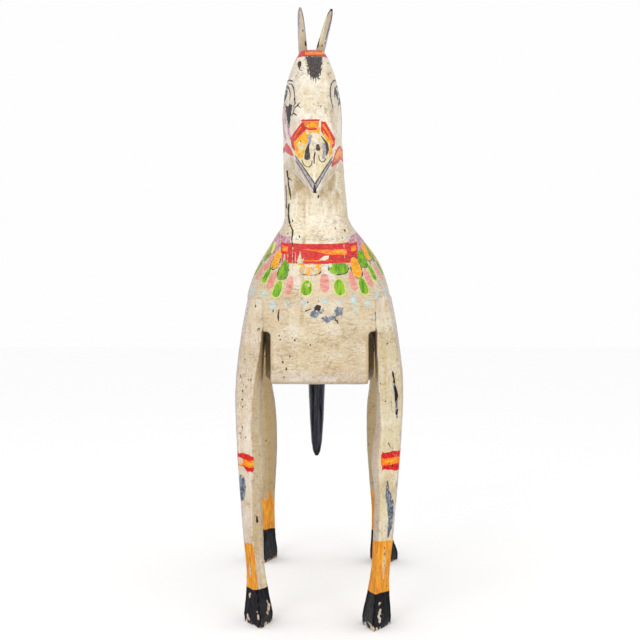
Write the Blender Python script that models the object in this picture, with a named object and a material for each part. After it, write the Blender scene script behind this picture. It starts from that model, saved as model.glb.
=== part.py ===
"""A standing toy horse carved from wood and painted, built up from pegged blocks.

The neck and head are one upright block, held on the body by two dowels. Four flat legs are pegged
into seats cut in the body's sides, two ears stand in sockets in the crown, and the tail plugs into
the rump.
Run it with blender --background --python part.py, or from Blender's text editor.

Every number below is in millimetres, and MM turns it into Blender's metres. The horse faces -Y,
+Z is up, and the frame's origin is under the middle of its bounding box. "Left" is the -X side.
"""

import math

import bmesh
import bpy
from mathutils import Matrix, Vector

MM = 0.001
GAP = 0.3  # left between pieces that touch

# Driving heights and depths of the carving
NECK_SEAM_Z = 416.0  # where the neck block stands on the body
NECK_FRONT_Y = -156.0
LEDGE_Z = 299.0  # underside of the shoulder, above the narrow lower chest
SEAT_X = 57.0  # half the body's width between the leg seats
UNDERCUT_X = 49.5  # half its width between the forelegs' fronts, below the ledge
UNDERCUT_Y = (-190.0, -106.0)
CUT_OUTER_X = 130.0  # the seats and undercuts run out past the body to here
CUT_FLOOR_Z = 150.0

PEG_RADIUS = 4.5
PEG_INNER_X = 30.0
PEG_PROUD = 0.2  # how far a peg's end stands out of its leg
DOWEL_RADIUS = 6.0
TAIL_TENON_RADIUS = 6.5
TAIL_TENON_DEPTH = 30.0
TAIL_TENON_LAP = 4.0  # the tenon's run inside the tail
HOLE_CLEARANCE = 20.0  # an open hole is cut this far past the surface

# Facets: points round a section, and the distance between sections
RING_POINTS = 32
EAR_POINTS = 12
TAIL_POINTS = 10
ROD_POINTS = 16
BLOCK_STEP = 9.0
BARREL_STEP = 13.5
LEG_STEP = 11.0
EAR_STEP = 6.0

# Each leg: side, where its toe stands against the even stance, and how far the shank's ridge is moved in
LEGS = {
    "foreleg_left": {"side": -1, "lean_x": 3.0, "lean_y": 6.0, "ridge_in": -0.12, "pair": "fore"},
    "foreleg_right": {"side": 1, "lean_x": -1.8, "lean_y": -6.0, "ridge_in": 0.12, "pair": "fore"},
    "hindleg_left": {"side": -1, "lean_x": -3.5, "lean_y": 6.5, "ridge_in": 0.0, "pair": "hind"},
    "hindleg_right": {"side": 1, "lean_x": 5.5, "lean_y": -6.5, "ridge_in": 0.0, "pair": "hind"},
}
# Each pair's seat, and its pegs in Y and Z
PAIRS = {
    "fore": {"seat_y": (-190.0, -83.6), "seat_top": 332.8, "pegs": ((-134.0, 317.0), (-103.0, 315.0))},
    "hind": {"seat_y": (107.6, 197.4), "seat_top": 346.8, "pegs": ((132.0, 329.0), (170.0, 322.0))},
}

LEG_ROOT_Z = 290.0  # a leg's lean starts from this height
LEG_SEATED_Z = (250.0, 298.0)  # the inner face turns from rounded to flat between these
LEG_INNER_CUT = 3.0  # how far the free part's inner corners are cut back
LEG_OUTER_CUT = 0.14  # the outer back corner's cut, as a share of the width
LEG_BACK_CUT = 0.10  # the back corners' cut, as a share of the depth
LEG_BACK_STEP = 0.02  # the inner back corner stands this share of the depth off the back
SHANK_Z = 60.0  # a leg's own turn of the ridge fades out below this height
RIDGE_LIMIT = 0.96  # the ridge stays this share of the width from the outer face

# Leg stations: height, inner and outer faces from the middle plane, front and back, how far the front
# corners stand behind the ridge, the ridge's place from outside (0) to inside (1), and how far the
# outer front corner stands in from the outer face
FORELEG = (
    (0.0, 45.5, 74.6, -166.0, -114.0, 30.0, 0.64, 2.0),
    (9.0, 45.0, 75.2, -165.0, -113.5, 28.0, 0.64, 2.0),
    (25.0, 48.3, 73.8, -157.0, -118.0, 21.0, 0.62, 2.0),
    (41.0, 51.5, 72.8, -150.0, -122.0, 13.0, 0.58, 2.0),
    (60.0, 54.4, 73.2, -147.5, -124.5, 8.0, 0.58, 2.0),
    (88.0, 55.6, 76.5, -148.5, -123.0, 7.0, 0.62, 2.0),
    (130.0, 57.0, 80.0, -151.0, -119.0, 7.0, 0.66, 2.0),
    (168.0, 54.0, 83.0, -156.0, -113.0, 8.0, 0.68, 2.0),
    (200.0, 58.0, 85.3, -154.0, -107.0, 9.0, 0.72, 2.2),
    (232.0, 58.5, 86.7, -154.0, -101.0, 10.0, 0.80, 2.5),
    (257.0, 57.8, 86.0, -155.0, -95.0, 11.0, 0.87, 3.0),
    (280.0, 57.3, 83.6, -156.6, -88.0, 12.0, 0.93, 4.0),
    (298.0, 57.3, 81.2, -157.4, -84.2, 12.5, 0.95, 5.0),
    (318.0, 57.3, 77.8, -157.6, -84.2, 12.5, 0.95, 5.5),
    (328.0, 57.3, 75.8, -157.4, -84.2, 12.5, 0.95, 5.5),
    (332.4, 57.3, 74.8, -157.2, -84.4, 12.5, 0.95, 5.5),
)
HINDLEG = (
    (0.0, 59.5, 95.5, 158.5, 213.0, 40.0, 0.55, 2.0),
    (9.0, 59.0, 96.0, 159.5, 213.5, 38.0, 0.55, 2.0),
    (26.0, 60.5, 90.0, 166.0, 210.0, 27.0, 0.53, 2.0),
    (44.0, 61.5, 83.5, 173.0, 205.0, 14.0, 0.50, 2.0),
    (66.0, 62.0, 80.5, 177.0, 203.0, 8.0, 0.50, 2.0),
    (97.0, 60.5, 80.5, 179.0, 206.0, 7.0, 0.50, 2.0),
    (132.0, 58.5, 82.5, 179.0, 214.0, 7.0, 0.50, 2.0),
    (150.0, 57.8, 83.5, 175.0, 215.0, 8.0, 0.50, 2.0),
    (187.0, 57.8, 84.5, 160.0, 205.0, 8.0, 0.50, 2.0),
    (209.0, 59.0, 85.0, 149.0, 201.0, 8.0, 0.50, 2.0),
    (232.0, 62.0, 85.0, 136.0, 199.0, 8.0, 0.50, 2.0),
    (262.0, 60.5, 84.0, 120.0, 198.0, 8.0, 0.48, 2.5),
    (290.0, 57.3, 81.5, 110.0, 196.5, 8.0, 0.45, 3.0),
    (318.0, 57.3, 78.0, 108.2, 196.8, 10.0, 0.45, 4.0),
    (338.0, 57.3, 74.8, 108.4, 196.4, 10.0, 0.45, 4.5),
    (346.4, 57.3, 72.8, 109.0, 195.5, 10.0, 0.45, 4.5),
)

# Barrel stations: Y, half width, lowest, widest and highest points
BARREL = (
    (-140.0, 58.0, 262.0, 322.0, 382.0),
    (-110.0, 70.0, 252.0, 322.0, 396.0),
    (-75.0, 72.0, 249.0, 322.0, 402.0),
    (-30.0, 66.5, 249.0, 322.0, 400.0),
    (15.0, 62.5, 251.0, 324.0, 396.0),
    (65.0, 64.0, 256.0, 328.0, 396.0),
    (112.0, 70.0, 262.0, 333.0, 402.0),
    (150.0, 72.5, 268.0, 336.0, 405.0),
    (178.0, 66.0, 277.0, 337.0, 400.0),
    (196.0, 49.0, 294.0, 339.0, 386.0),
    (204.0, 29.0, 313.0, 341.0, 370.0),
    (206.5, 10.0, 331.0, 342.0, 353.0),
)
BARREL_POWER = 0.9  # below 1 is squarer than an ellipse

# Upright blocks' stations: Z, middle in X, half width, front, back, roundness (2 is an ellipse)
SHOULDERS = (
    (LEDGE_Z, 0.0, 76.4, -163.5, -66.0, 3.4),
    (316.0, -0.5, 76.0, -165.0, -62.0, 3.4),
    (333.0, -0.9, 74.8, -165.5, -56.0, 3.2),
    (350.0, -0.9, 70.8, -165.0, -50.0, 2.9),
    (366.0, -0.5, 65.0, -163.0, -48.0, 2.6),
    (378.0, -0.4, 58.4, -161.0, -48.0, 2.5),
    (388.0, -0.9, 51.5, -159.5, -50.0, 2.7),
    (398.0, -1.6, 44.2, -158.0, -54.0, 3.2),
    (408.0, -2.4, 36.0, -156.5, -61.0, 4.2),
    (NECK_SEAM_Z, -3.2, 32.6, NECK_FRONT_Y, -66.0, 6.0),
)
LOWER_CHEST = (
    (246.0, 0.0, 53.0, -155.0, -102.0, 6.0),
    (248.0, 0.0, 56.5, -159.0, -99.0, 6.0),
    (254.0, 0.0, 60.0, -161.5, -96.0, 6.0),
    (264.0, 0.0, 62.0, -162.2, -93.0, 6.0),
    (286.0, 0.0, 62.0, -162.8, -87.0, 5.5),
    (302.0, 0.0, 62.0, -163.4, -84.0, 5.0),
)
NECK = (
    (NECK_SEAM_Z + GAP, -3.2, 32.6, NECK_FRONT_Y, -66.0, 6.0),
    (432.0, -4.1, 31.9, -155.0, -70.0, 6.0),
    (452.0, -5.3, 31.3, -153.5, -74.0, 6.0),
    (472.0, -6.3, 30.8, -152.5, -77.0, 6.0),
    (497.0, -7.2, 30.2, -152.0, -80.5, 5.5),
    (518.0, -7.7, 27.0, -150.0, -88.0, 5.0),
)

# Head stations: Z, middle in X at the front and the back, half width there, front and back
HEAD = (
    (432.0, -3.9, -4.0, 1.5, 2.5, -228.5, -222.0),
    (437.0, -4.0, -4.2, 4.0, 6.0, -228.5, -208.0),
    (446.0, -4.2, -4.6, 8.8, 12.5, -227.0, -187.0),
    (455.0, -4.4, -5.0, 13.0, 19.5, -225.0, -169.0),
    (463.0, -4.6, -5.6, 16.5, 26.0, -222.0, -148.0),
    (471.0, -4.8, -6.2, 19.0, 29.4, -218.5, -122.0),
    (483.0, -5.0, -6.6, 20.3, 30.1, -212.5, -100.0),
    (497.0, -5.2, -7.2, 19.6, 30.2, -205.0, -82.0),
    (512.0, -5.3, -7.6, 18.6, 30.7, -198.0, -80.6),
    (526.0, -5.4, -7.8, 17.5, 30.5, -189.0, -81.4),
    (540.0, -5.6, -7.8, 16.5, 29.4, -179.0, -83.0),
    (555.0, -6.0, -7.8, 15.5, 26.0, -169.0, -86.5),
    (569.0, -6.5, -7.7, 14.0, 21.6, -158.0, -91.5),
    (580.0, -7.0, -7.6, 12.5, 16.9, -147.5, -97.0),
    (587.0, -7.4, -7.6, 11.0, 13.2, -138.0, -103.0),
    (590.0, -7.6, -7.6, 8.0, 9.0, -130.0, -109.0),
)
CHEEK_Y = -132.0  # behind here the head has its full width
MUZZLE_RUN = 5.0  # the least distance over which the face widens
HEAD_ROUNDNESS = 4.5

# Ears: base middle in X and Y, lean to +X in degrees; then height, thickness, depth and sweep back
EARS = {"ear_left": (-17.0, -118.0, -4.0), "ear_right": (-0.6, -118.0, 15.0)}
EAR_BASE_Z = 586.5
EAR = (
    (0.0, 9.4, 12.5, 0.0),
    (10.0, 9.2, 15.5, 0.0),
    (22.0, 8.4, 14.5, 0.5),
    (35.0, 7.4, 10.5, 1.5),
    (45.0, 5.6, 6.0, 2.8),
    (51.0, 2.6, 2.2, 4.0),
)
EAR_FOOT = -2.5  # an ear's full section starts this far over its base, sunk in the crown
EAR_TENON = (5.0, 9.0, 14.0)  # thickness, depth and length of the tongue under an ear
EAR_STEP_DOWN = 0.1  # height over which the tongue widens into the ear
EAR_SOCKET_Z = (0.0, 6.0, 12.0)  # the socket follows the ear through these heights
EAR_ROUNDNESS = 2.6

# Tail spine: X, Y, Z and radius, from the rump out and down to the tip
TAIL = (
    (-3.0, 208.0, 366.0, 9.0),
    (-3.0, 213.5, 365.8, 10.4),
    (-3.2, 219.5, 362.0, 11.6),
    (-3.6, 222.5, 352.0, 12.4),
    (-4.0, 223.0, 325.0, 12.6),
    (-4.3, 222.0, 280.0, 12.2),
    (-4.6, 220.0, 228.0, 11.2),
    (-4.6, 217.5, 180.0, 9.2),
    (-4.6, 215.5, 151.0, 7.2),
    (-4.6, 214.5, 138.5, 5.0),
    (-4.6, 214.0, 132.5, 2.0),
)

# Dowels: X, Y, lowest and highest points
DOWELS = {
    "neck_dowel_front": (-3.0, -133.0, 376.0, 456.0),
    "neck_dowel_rear": (-3.0, -91.0, 376.0, 456.0),
}

COLOURS = {
    "painted_wood": ((0.80, 0.72, 0.55, 1.0), 0.42),
    "black_painted_wood": ((0.02, 0.02, 0.03, 1.0), 0.30),
    "bare_wood": ((0.42, 0.27, 0.14, 1.0), 0.65),
}


def clear_scene():
    for thing in list(bpy.data.objects):
        bpy.data.objects.remove(thing, do_unlink=True)


def make_collection(name):
    collection = bpy.data.collections.new(name)
    bpy.context.scene.collection.children.link(collection)
    return collection


def make_material(name):
    colour, roughness = COLOURS[name]
    material = bpy.data.materials.new(name)
    material.use_nodes = True
    shader = material.node_tree.nodes["Principled BSDF"]
    shader.inputs["Base Color"].default_value = colour
    shader.inputs["Roughness"].default_value = roughness
    shader.inputs["Metallic"].default_value = 0.0
    return material


# ---- Curves through stations ----


def slope(stations, i, column):
    """The finite-difference slope of one column at station i."""
    before = stations[max(i - 1, 0)]
    after = stations[min(i + 1, len(stations) - 1)]
    return (after[column] - before[column]) / (after[0] - before[0])


def station_at(stations, place):
    """All the columns at a place between the first and last stations, on a smooth curve."""
    last = len(stations) - 2
    i = next((k for k in range(last) if place <= stations[k + 1][0]), last)
    low, high = stations[i], stations[i + 1]
    span = high[0] - low[0]
    t = (place - low[0]) / span
    h0, h1 = (1 + 2 * t) * (1 - t) ** 2, t * t * (3 - 2 * t)
    g0, g1 = t * (1 - t) ** 2, t * t * (t - 1)
    row = [place]
    for c in range(1, len(low)):
        bend = g0 * slope(stations, i, c) + g1 * slope(stations, i + 1, c)
        row.append(h0 * low[c] + h1 * high[c] + span * bend)
    return row


def places(stations, step):
    """The stations' own places and even ones between them, at most a step apart."""
    out = [stations[0][0]]
    for low, high in zip(stations, stations[1:]):
        count = max(1, math.ceil((high[0] - low[0]) / step))
        out += [low[0] + (high[0] - low[0]) * k / count for k in range(1, count + 1)]
    return out


# ---- Meshes ----


def add_object(name, mesh, collection, material=None):
    thing = bpy.data.objects.new(name, mesh)
    collection.objects.link(thing)
    if material:
        mesh.materials.append(material)
    return thing


def loft(name, rings, collection, material=None):
    """A closed solid through rings of points, given in millimetres, with a flat face at each end."""
    bm = bmesh.new()
    rows = [[bm.verts.new(Vector(p) * MM) for p in ring] for ring in rings]
    for low, high in zip(rows, rows[1:]):
        for i in range(len(low)):
            j = (i + 1) % len(low)
            bm.faces.new((low[i], low[j], high[j], high[i]))
    bm.faces.new(rows[0])
    bm.faces.new(rows[-1])
    bmesh.ops.recalc_face_normals(bm, faces=bm.faces)
    mesh = bpy.data.meshes.new(name)
    bm.to_mesh(mesh)
    bm.free()
    return add_object(name, mesh, collection, material)


def rod(name, start, end, radius, collection, material=None):
    """A round rod between two points in millimetres, from the cone primitive."""
    start, end = Vector(start) * MM, Vector(end) * MM
    along = end - start
    bm = bmesh.new()
    bmesh.ops.create_cone(
        bm,
        cap_ends=True,
        segments=ROD_POINTS,
        radius1=radius * MM,
        radius2=radius * MM,
        depth=along.length,
    )
    turn = Vector((0, 0, 1)).rotation_difference(along).to_matrix().to_4x4()
    bm.transform(Matrix.Translation((start + end) / 2) @ turn)
    mesh = bpy.data.meshes.new(name)
    bm.to_mesh(mesh)
    bm.free()
    mesh.shade_smooth()
    mesh.set_sharp_from_angle(angle=math.radians(40))
    return add_object(name, mesh, collection, material)


def box(name, low, high, collection):
    """An axis-aligned box between two corners in millimetres."""
    low, high = Vector(low) * MM, Vector(high) * MM
    bm = bmesh.new()
    bmesh.ops.create_cube(bm, size=1.0)
    bm.transform(Matrix.Translation((low + high) / 2) @ Matrix.Diagonal((*(high - low), 1.0)))
    mesh = bpy.data.meshes.new(name)
    bm.to_mesh(mesh)
    bm.free()
    return add_object(name, mesh, collection)


def combine(target, tool, operation, cutters):
    """Adds a Boolean of a tool, which is hidden among the cutters."""
    modifier = target.modifiers.new(tool.name, "BOOLEAN")
    modifier.operation = operation
    modifier.solver = "EXACT"
    modifier.object = tool
    tool.hide_render = True
    tool.display_type = "WIRE"
    if cutters not in list(tool.users_collection):
        cutters.objects.link(tool)


def signed_power(value, power):
    return math.copysign(abs(value) ** power, value)


def clamp(value):
    return min(max(value, 0.0), 1.0)


# ---- Sections ----


def upright_ring(row):
    """A rounded rectangle at one height, from an upright block's station."""
    z, middle, half_width, front, back, roundness = row
    ring = []
    for k in range(RING_POINTS):
        angle = 2 * math.pi * (k + 0.5) / RING_POINTS
        across = signed_power(math.cos(angle), 2 / roundness)
        along = signed_power(math.sin(angle), 2 / roundness)
        ring.append((middle + half_width * across, (front + back) / 2 + (back - front) / 2 * along, z))
    return ring


def barrel_ring(row):
    """An egg-shaped section of the barrel at one Y."""
    y, half_width, lowest, widest, highest = row
    ring = []
    for k in range(RING_POINTS):
        angle = 2 * math.pi * (k + 0.5) / RING_POINTS
        across = signed_power(math.cos(angle), BARREL_POWER)
        up = signed_power(math.sin(angle), BARREL_POWER)
        reach = highest - widest if up > 0 else widest - lowest
        ring.append((half_width * across, y, widest + reach * up))
    return ring


def cheek_share(y, front, back):
    """How far the head has widened at one Y: 0 at the face, and 1 at the cheeks or the back."""
    cheek = min(back, max(CHEEK_Y, front + MUZZLE_RUN))
    t = clamp((y - front) / (cheek - front))
    return t * (2 - t)


def head_ring(row):
    """A section of the head, narrow at the face and full behind the cheeks."""
    z, front_x, back_x, front_width, back_width, front, back = row
    ring = []
    for k in range(RING_POINTS):
        angle = 2 * math.pi * (k + 0.5) / RING_POINTS
        across = signed_power(math.cos(angle), 2 / HEAD_ROUNDNESS)
        along = signed_power(math.sin(angle), 2 / HEAD_ROUNDNESS)
        y = (front + back) / 2 + (back - front) / 2 * along
        share = cheek_share(y, front, back)
        width = front_width + (back_width - front_width) * share
        ring.append((front_x + (back_x - front_x) * share + width * across, y, z))
    return ring


def leg_ring(row, leg):
    """An eight-sided section of a leg, with a ridge down its front."""
    z, inner, outer, front, back, wedge, ridge, edge = row
    free_z, seated_z = LEG_SEATED_Z
    free = 1 - clamp((z - free_z) / (seated_z - free_z))  # 0 where the inner face lies in its seat
    depth, width = back - front, outer - inner
    broadest = front + max(wedge + edge, depth / 2)
    ridge = min(RIDGE_LIMIT, ridge + leg["ridge_in"] * free * clamp(z / SHANK_Z))
    outline = (
        (outer - ridge * width, front),
        (outer - edge, front + wedge),
        (outer, broadest),
        (outer - LEG_OUTER_CUT * width, back - LEG_BACK_CUT * depth),
        ((inner + outer) / 2, back),
        (inner + LEG_INNER_CUT * free, back - (LEG_BACK_CUT * free + LEG_BACK_STEP) * depth),
        (inner, broadest),
        (inner + LEG_INNER_CUT * free / 2, front + wedge),
    )
    fall = max(0.0, 1 - z / LEG_ROOT_Z)
    side, lean_x, lean_y = leg["side"], leg["lean_x"] * fall, leg["lean_y"] * fall
    return [(side * (x + lean_x), y + lean_y, z) for x, y in outline]


def outer_face(stations, leg, y, z):
    """How far a leg's outer side stands from the middle plane at one Y and height."""
    corners = [(abs(x), y) for x, y, _ in leg_ring(station_at(stations, z), leg)[1:4]]
    near, far = corners[:2] if y < corners[1][1] else corners[1:]
    return near[0] + (far[0] - near[0]) * (y - near[1]) / (far[1] - near[1])


def ear_ring(row, grow=0.0):
    """A flat oval of an ear at one height over its base."""
    z, thickness, depth, sweep = row
    ring = []
    for k in range(EAR_POINTS):
        angle = 2 * math.pi * k / EAR_POINTS
        x = (thickness / 2 + grow) * signed_power(math.cos(angle), 2 / EAR_ROUNDNESS)
        y = (depth / 2 + grow) * signed_power(math.sin(angle), 2 / EAR_ROUNDNESS)
        ring.append((x, y + sweep, z))
    return ring


# ---- Pieces ----


def make_pegs(parts, cutters, wood):
    """Two pegs through each leg into the body. Returns (leg name, hole) pairs."""
    holes = []
    for leg_name, leg in LEGS.items():
        pair = PAIRS[leg["pair"]]
        stations = FORELEG if leg["pair"] == "fore" else HINDLEG
        for place, (y, z) in zip(("front", "rear"), pair["pegs"]):
            outer = outer_face(stations, leg, y, z) + PEG_PROUD
            side = leg["side"]
            name = f"{leg_name}_peg_{place}"
            rod(name, (side * PEG_INNER_X, y, z), (side * outer, y, z), PEG_RADIUS, parts, wood)
            hole = rod(
                f"hole_{name}",
                (side * (PEG_INNER_X - GAP), y, z),
                (side * (outer + HOLE_CLEARANCE), y, z),
                PEG_RADIUS + GAP,
                cutters,
            )
            holes.append((leg_name, hole))
    return holes


def make_legs(parts, cutters, paint, peg_holes):
    for name, leg in LEGS.items():
        stations = FORELEG if leg["pair"] == "fore" else HINDLEG
        rings = [leg_ring(station_at(stations, z), leg) for z in places(stations, LEG_STEP)]
        piece = loft(name, rings, parts, paint)
        for owner, hole in peg_holes:
            if owner == name:
                combine(piece, hole, "DIFFERENCE", cutters)


def make_dowels(parts, cutters, wood):
    """The upright dowels across the neck's seam. Returns their holes."""
    holes = []
    for name, (x, y, low, high) in DOWELS.items():
        rod(name, (x, y, low), (x, y, high), DOWEL_RADIUS, parts, wood)
        hole = rod(f"hole_{name}", (x, y, low - GAP), (x, y, high + GAP), DOWEL_RADIUS + GAP, cutters)
        holes.append(hole)
    return holes


def make_body(parts, cutters, paint, peg_holes, dowel_holes, tail_hole):
    """The barrel with its shoulders and lower chest, less the seats and holes."""
    rings = [barrel_ring(station_at(BARREL, y)) for y in places(BARREL, BARREL_STEP)]
    body = loft("body_barrel", rings, parts, paint)
    for name, stations in (("shoulders", SHOULDERS), ("lower_chest", LOWER_CHEST)):
        rings = [upright_ring(station_at(stations, z)) for z in places(stations, BLOCK_STEP)]
        combine(body, loft(name, rings, cutters), "UNION", cutters)
    for leg_name, leg in LEGS.items():
        pair, side = PAIRS[leg["pair"]], leg["side"]
        low_y, high_y = pair["seat_y"]
        near, far = sorted((side * SEAT_X, side * CUT_OUTER_X))
        low, high = (near, low_y, CUT_FLOOR_Z), (far, high_y, pair["seat_top"])
        seat = box(f"seat_{leg_name}", low, high, cutters)
        combine(body, seat, "DIFFERENCE", cutters)
    for side in (-1, 1):
        near, far = sorted((side * UNDERCUT_X, side * CUT_OUTER_X))
        low, high = (near, UNDERCUT_Y[0], CUT_FLOOR_Z), (far, UNDERCUT_Y[1], LEDGE_Z)
        under = box(f"undercut_{side}", low, high, cutters)
        combine(body, under, "DIFFERENCE", cutters)
    for hole in [hole for _, hole in peg_holes] + dowel_holes + [tail_hole]:
        combine(body, hole, "DIFFERENCE", cutters)


def make_neck_and_head(parts, cutters, paint, dowel_holes, sockets):
    """The upright block of the neck with the head on it, less the dowel holes and ear sockets."""
    rings = [upright_ring(station_at(NECK, z)) for z in places(NECK, BLOCK_STEP)]
    block = loft("neck_and_head", rings, parts, paint)
    rings = [head_ring(station_at(HEAD, z)) for z in places(HEAD, BLOCK_STEP)]
    combine(block, loft("head", rings, cutters), "UNION", cutters)
    for hole in dowel_holes + sockets:
        combine(block, hole, "DIFFERENCE", cutters)


def make_ears(parts, cutters, paint):
    """Two pointed ears on tongues, and the stepped sockets that they stand in."""
    thickness, depth, length = EAR_TENON
    foot = EAR[0][1:]
    step = EAR_FOOT - EAR_STEP_DOWN  # where the tongue ends and the ear's full section begins
    sockets = []
    for name, (x, y, lean) in EARS.items():
        place = Matrix.Translation(Vector((x, y, EAR_BASE_Z)) * MM)
        place = place @ Matrix.Rotation(math.radians(lean), 4, "Y")
        tongue = [(-length, thickness, depth, 0.0), (step, thickness, depth, 0.0)]
        blade = [(EAR_FOOT, *foot)] + [station_at(EAR, z) for z in places(EAR, EAR_STEP)]
        ear = loft(name, [ear_ring(row) for row in tongue + blade], parts, paint)
        ear.data.transform(place)
        well_tongue = [(z - GAP, thickness, depth, 0.0) for z in (-length, step)]
        well = [(step - GAP + EAR_STEP_DOWN, *foot)] + [station_at(EAR, z) for z in EAR_SOCKET_Z]
        socket = loft(f"socket_{name}", [ear_ring(row, GAP) for row in well_tongue + well], cutters)
        socket.data.transform(place)
        sockets.append(socket)
    return sockets


def tail_frames():
    """The tail's spine points with the two directions across it."""
    points = [Vector(row[:3]) for row in TAIL]
    for i, point in enumerate(points):
        along = (points[min(i + 1, len(points) - 1)] - points[max(i - 1, 0)]).normalized()
        across = Vector((1, 0, 0))
        across = (across - along * across.dot(along)).normalized()
        yield point, across, along.cross(across), TAIL[i][3]


def make_tail(parts, cutters, black):
    """The hanging tail with a round tenon for the rump. Returns the tenon's hole."""
    rings = []
    for point, across, up, radius in tail_frames():
        angles = [2 * math.pi * k / TAIL_POINTS for k in range(TAIL_POINTS)]
        rings.append([point + across * radius * math.cos(a) + up * radius * math.sin(a) for a in angles])
    root = Vector(TAIL[0][:3])
    tail = loft("tail", rings, parts, black)
    end = root - Vector((0, TAIL_TENON_DEPTH, 0))
    lap = root + Vector((0, TAIL_TENON_LAP, 0))
    combine(tail, rod("tail_tenon", end, lap, TAIL_TENON_RADIUS, cutters), "UNION", cutters)
    hole_end = end - Vector((0, GAP, 0))
    hole_mouth = root + Vector((0, HOLE_CLEARANCE, 0))
    return rod("hole_tail", hole_end, hole_mouth, TAIL_TENON_RADIUS + GAP, cutters)


def centre_on_origin(parts):
    """Hangs every piece on one empty, and moves that so that the bounding box stands on the origin."""
    root = bpy.data.objects.new("horse", None)
    parts.objects.link(root)
    pieces = [thing for thing in parts.objects if thing.type == "MESH"]
    bpy.context.view_layer.update()
    depsgraph = bpy.context.evaluated_depsgraph_get()
    corners = []
    for piece in pieces:
        corners += [v.co.copy() for v in piece.evaluated_get(depsgraph).data.vertices]
        piece.parent = root
    lows = [min(c[k] for c in corners) for k in range(3)]
    highs = [max(c[k] for c in corners) for k in range(3)]
    root.location = (-(lows[0] + highs[0]) / 2, -(lows[1] + highs[1]) / 2, -lows[2])
    return root


def main():
    clear_scene()
    parts = make_collection("carved_toy_horse")
    cutters = make_collection("cutters")
    paint = make_material("painted_wood")
    black = make_material("black_painted_wood")
    wood = make_material("bare_wood")

    peg_holes = make_pegs(parts, cutters, wood)
    dowel_holes = make_dowels(parts, cutters, wood)
    make_legs(parts, cutters, paint, peg_holes)
    tail_hole = make_tail(parts, cutters, black)
    make_body(parts, cutters, paint, peg_holes, dowel_holes, tail_hole)
    sockets = make_ears(parts, cutters, paint)
    make_neck_and_head(parts, cutters, paint, dowel_holes, sockets)

    root = centre_on_origin(parts)
    for tool in cutters.objects:
        tool.parent = root
    bpy.context.view_layer.update()


main()
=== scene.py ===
"""A carved toy horse under old cracked paint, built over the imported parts.

Every length is in millimetres unless its name says otherwise, and MM turns it into metres.
The design works in the carving's own frame: its middle plane is X = 0, it faces -Y, and OFFSET
carries it into the row frame. "Left" is the -X side.

Each carved piece is the CAD piece remeshed finely, softened away from its real edges and carved a
little uneven. The paint is laid on as fields: every vertex holds its signed distance to the edge
of each colour (negative inside), and the material turns those distances into ragged brushed
edges, flakes and cracks.
"""

import itertools
import math

import bmesh
import bpy
import numpy as np
from mathutils import Matrix, Vector
from mathutils.kdtree import KDTree


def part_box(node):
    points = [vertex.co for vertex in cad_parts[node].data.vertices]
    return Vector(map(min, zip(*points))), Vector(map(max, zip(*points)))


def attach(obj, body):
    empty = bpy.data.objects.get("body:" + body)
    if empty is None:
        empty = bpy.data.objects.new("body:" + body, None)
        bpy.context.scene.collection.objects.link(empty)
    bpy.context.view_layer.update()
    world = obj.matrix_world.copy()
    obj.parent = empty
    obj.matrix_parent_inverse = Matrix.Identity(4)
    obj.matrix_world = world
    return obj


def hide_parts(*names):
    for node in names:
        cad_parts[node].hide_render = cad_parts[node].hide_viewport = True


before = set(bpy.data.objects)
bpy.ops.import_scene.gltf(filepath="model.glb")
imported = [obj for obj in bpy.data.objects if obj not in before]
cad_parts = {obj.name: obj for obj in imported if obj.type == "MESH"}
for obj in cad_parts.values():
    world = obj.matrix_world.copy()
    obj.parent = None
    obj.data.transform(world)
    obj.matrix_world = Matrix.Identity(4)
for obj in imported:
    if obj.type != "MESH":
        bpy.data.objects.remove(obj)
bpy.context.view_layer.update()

MM = 0.001
OFFSET = np.array((-4.36, -3.25, 0.0))
FAR = 25.0  # the greatest distance that a paint field holds
NECK_SEAM_Z = 416.0
LEDGE_Z = 299.0
JOINT_X = 57.0  # the inner face of the forelegs' joints with the body
LEG_TOP_Z = 333.0
BURY_UP, BURY_IN = 4.0, 3.0  # how far each foreleg's top runs on up and into the body
SEAM_SINK = 0.5  # closes the gap over the seam while the two blocks are worked as one

# ---- Noise and distances ----

LATTICE_SIZE = 24
LATTICE = np.random.default_rng(11).uniform(-1, 1, (LATTICE_SIZE,) * 3)


def noise(points, wavelength, seed=0.0):
    """Smooth value noise from -1 to 1 at points in millimetres. A wavelength may differ by axis."""
    place = points / np.asarray(wavelength, float) + seed * 5.37
    cell = np.floor(place).astype(int)
    f = place - cell
    f = f * f * (3 - 2 * f)
    total = np.zeros(len(points))
    for corner in itertools.product((0, 1), repeat=3):
        i = (cell + corner) % LATTICE_SIZE
        weight = np.prod(np.where(corner, f, 1 - f), axis=1)
        total += weight * LATTICE[i[:, 0], i[:, 1], i[:, 2]]
    return total


def smoothstep(value, low, high):
    t = np.clip((value - low) / (high - low), 0, 1)
    return t * t * (3 - 2 * t)


def oval(a, b, middle, radii):
    """Signed distance to an ellipse."""
    radii = np.array(radii)[:, None]
    p = np.stack((a - middle[0], b - middle[1])) / radii
    k0 = np.hypot(*p) + 1e-9
    k1 = np.hypot(*(p / radii)) + 1e-9
    return k0 * (k0 - 1) / k1


def box(a, b, middle, half):
    """Signed distance to a rectangle, given half its width and height."""
    return np.maximum(np.abs(a - middle[0]) - half[0], np.abs(b - middle[1]) - half[1])


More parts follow.
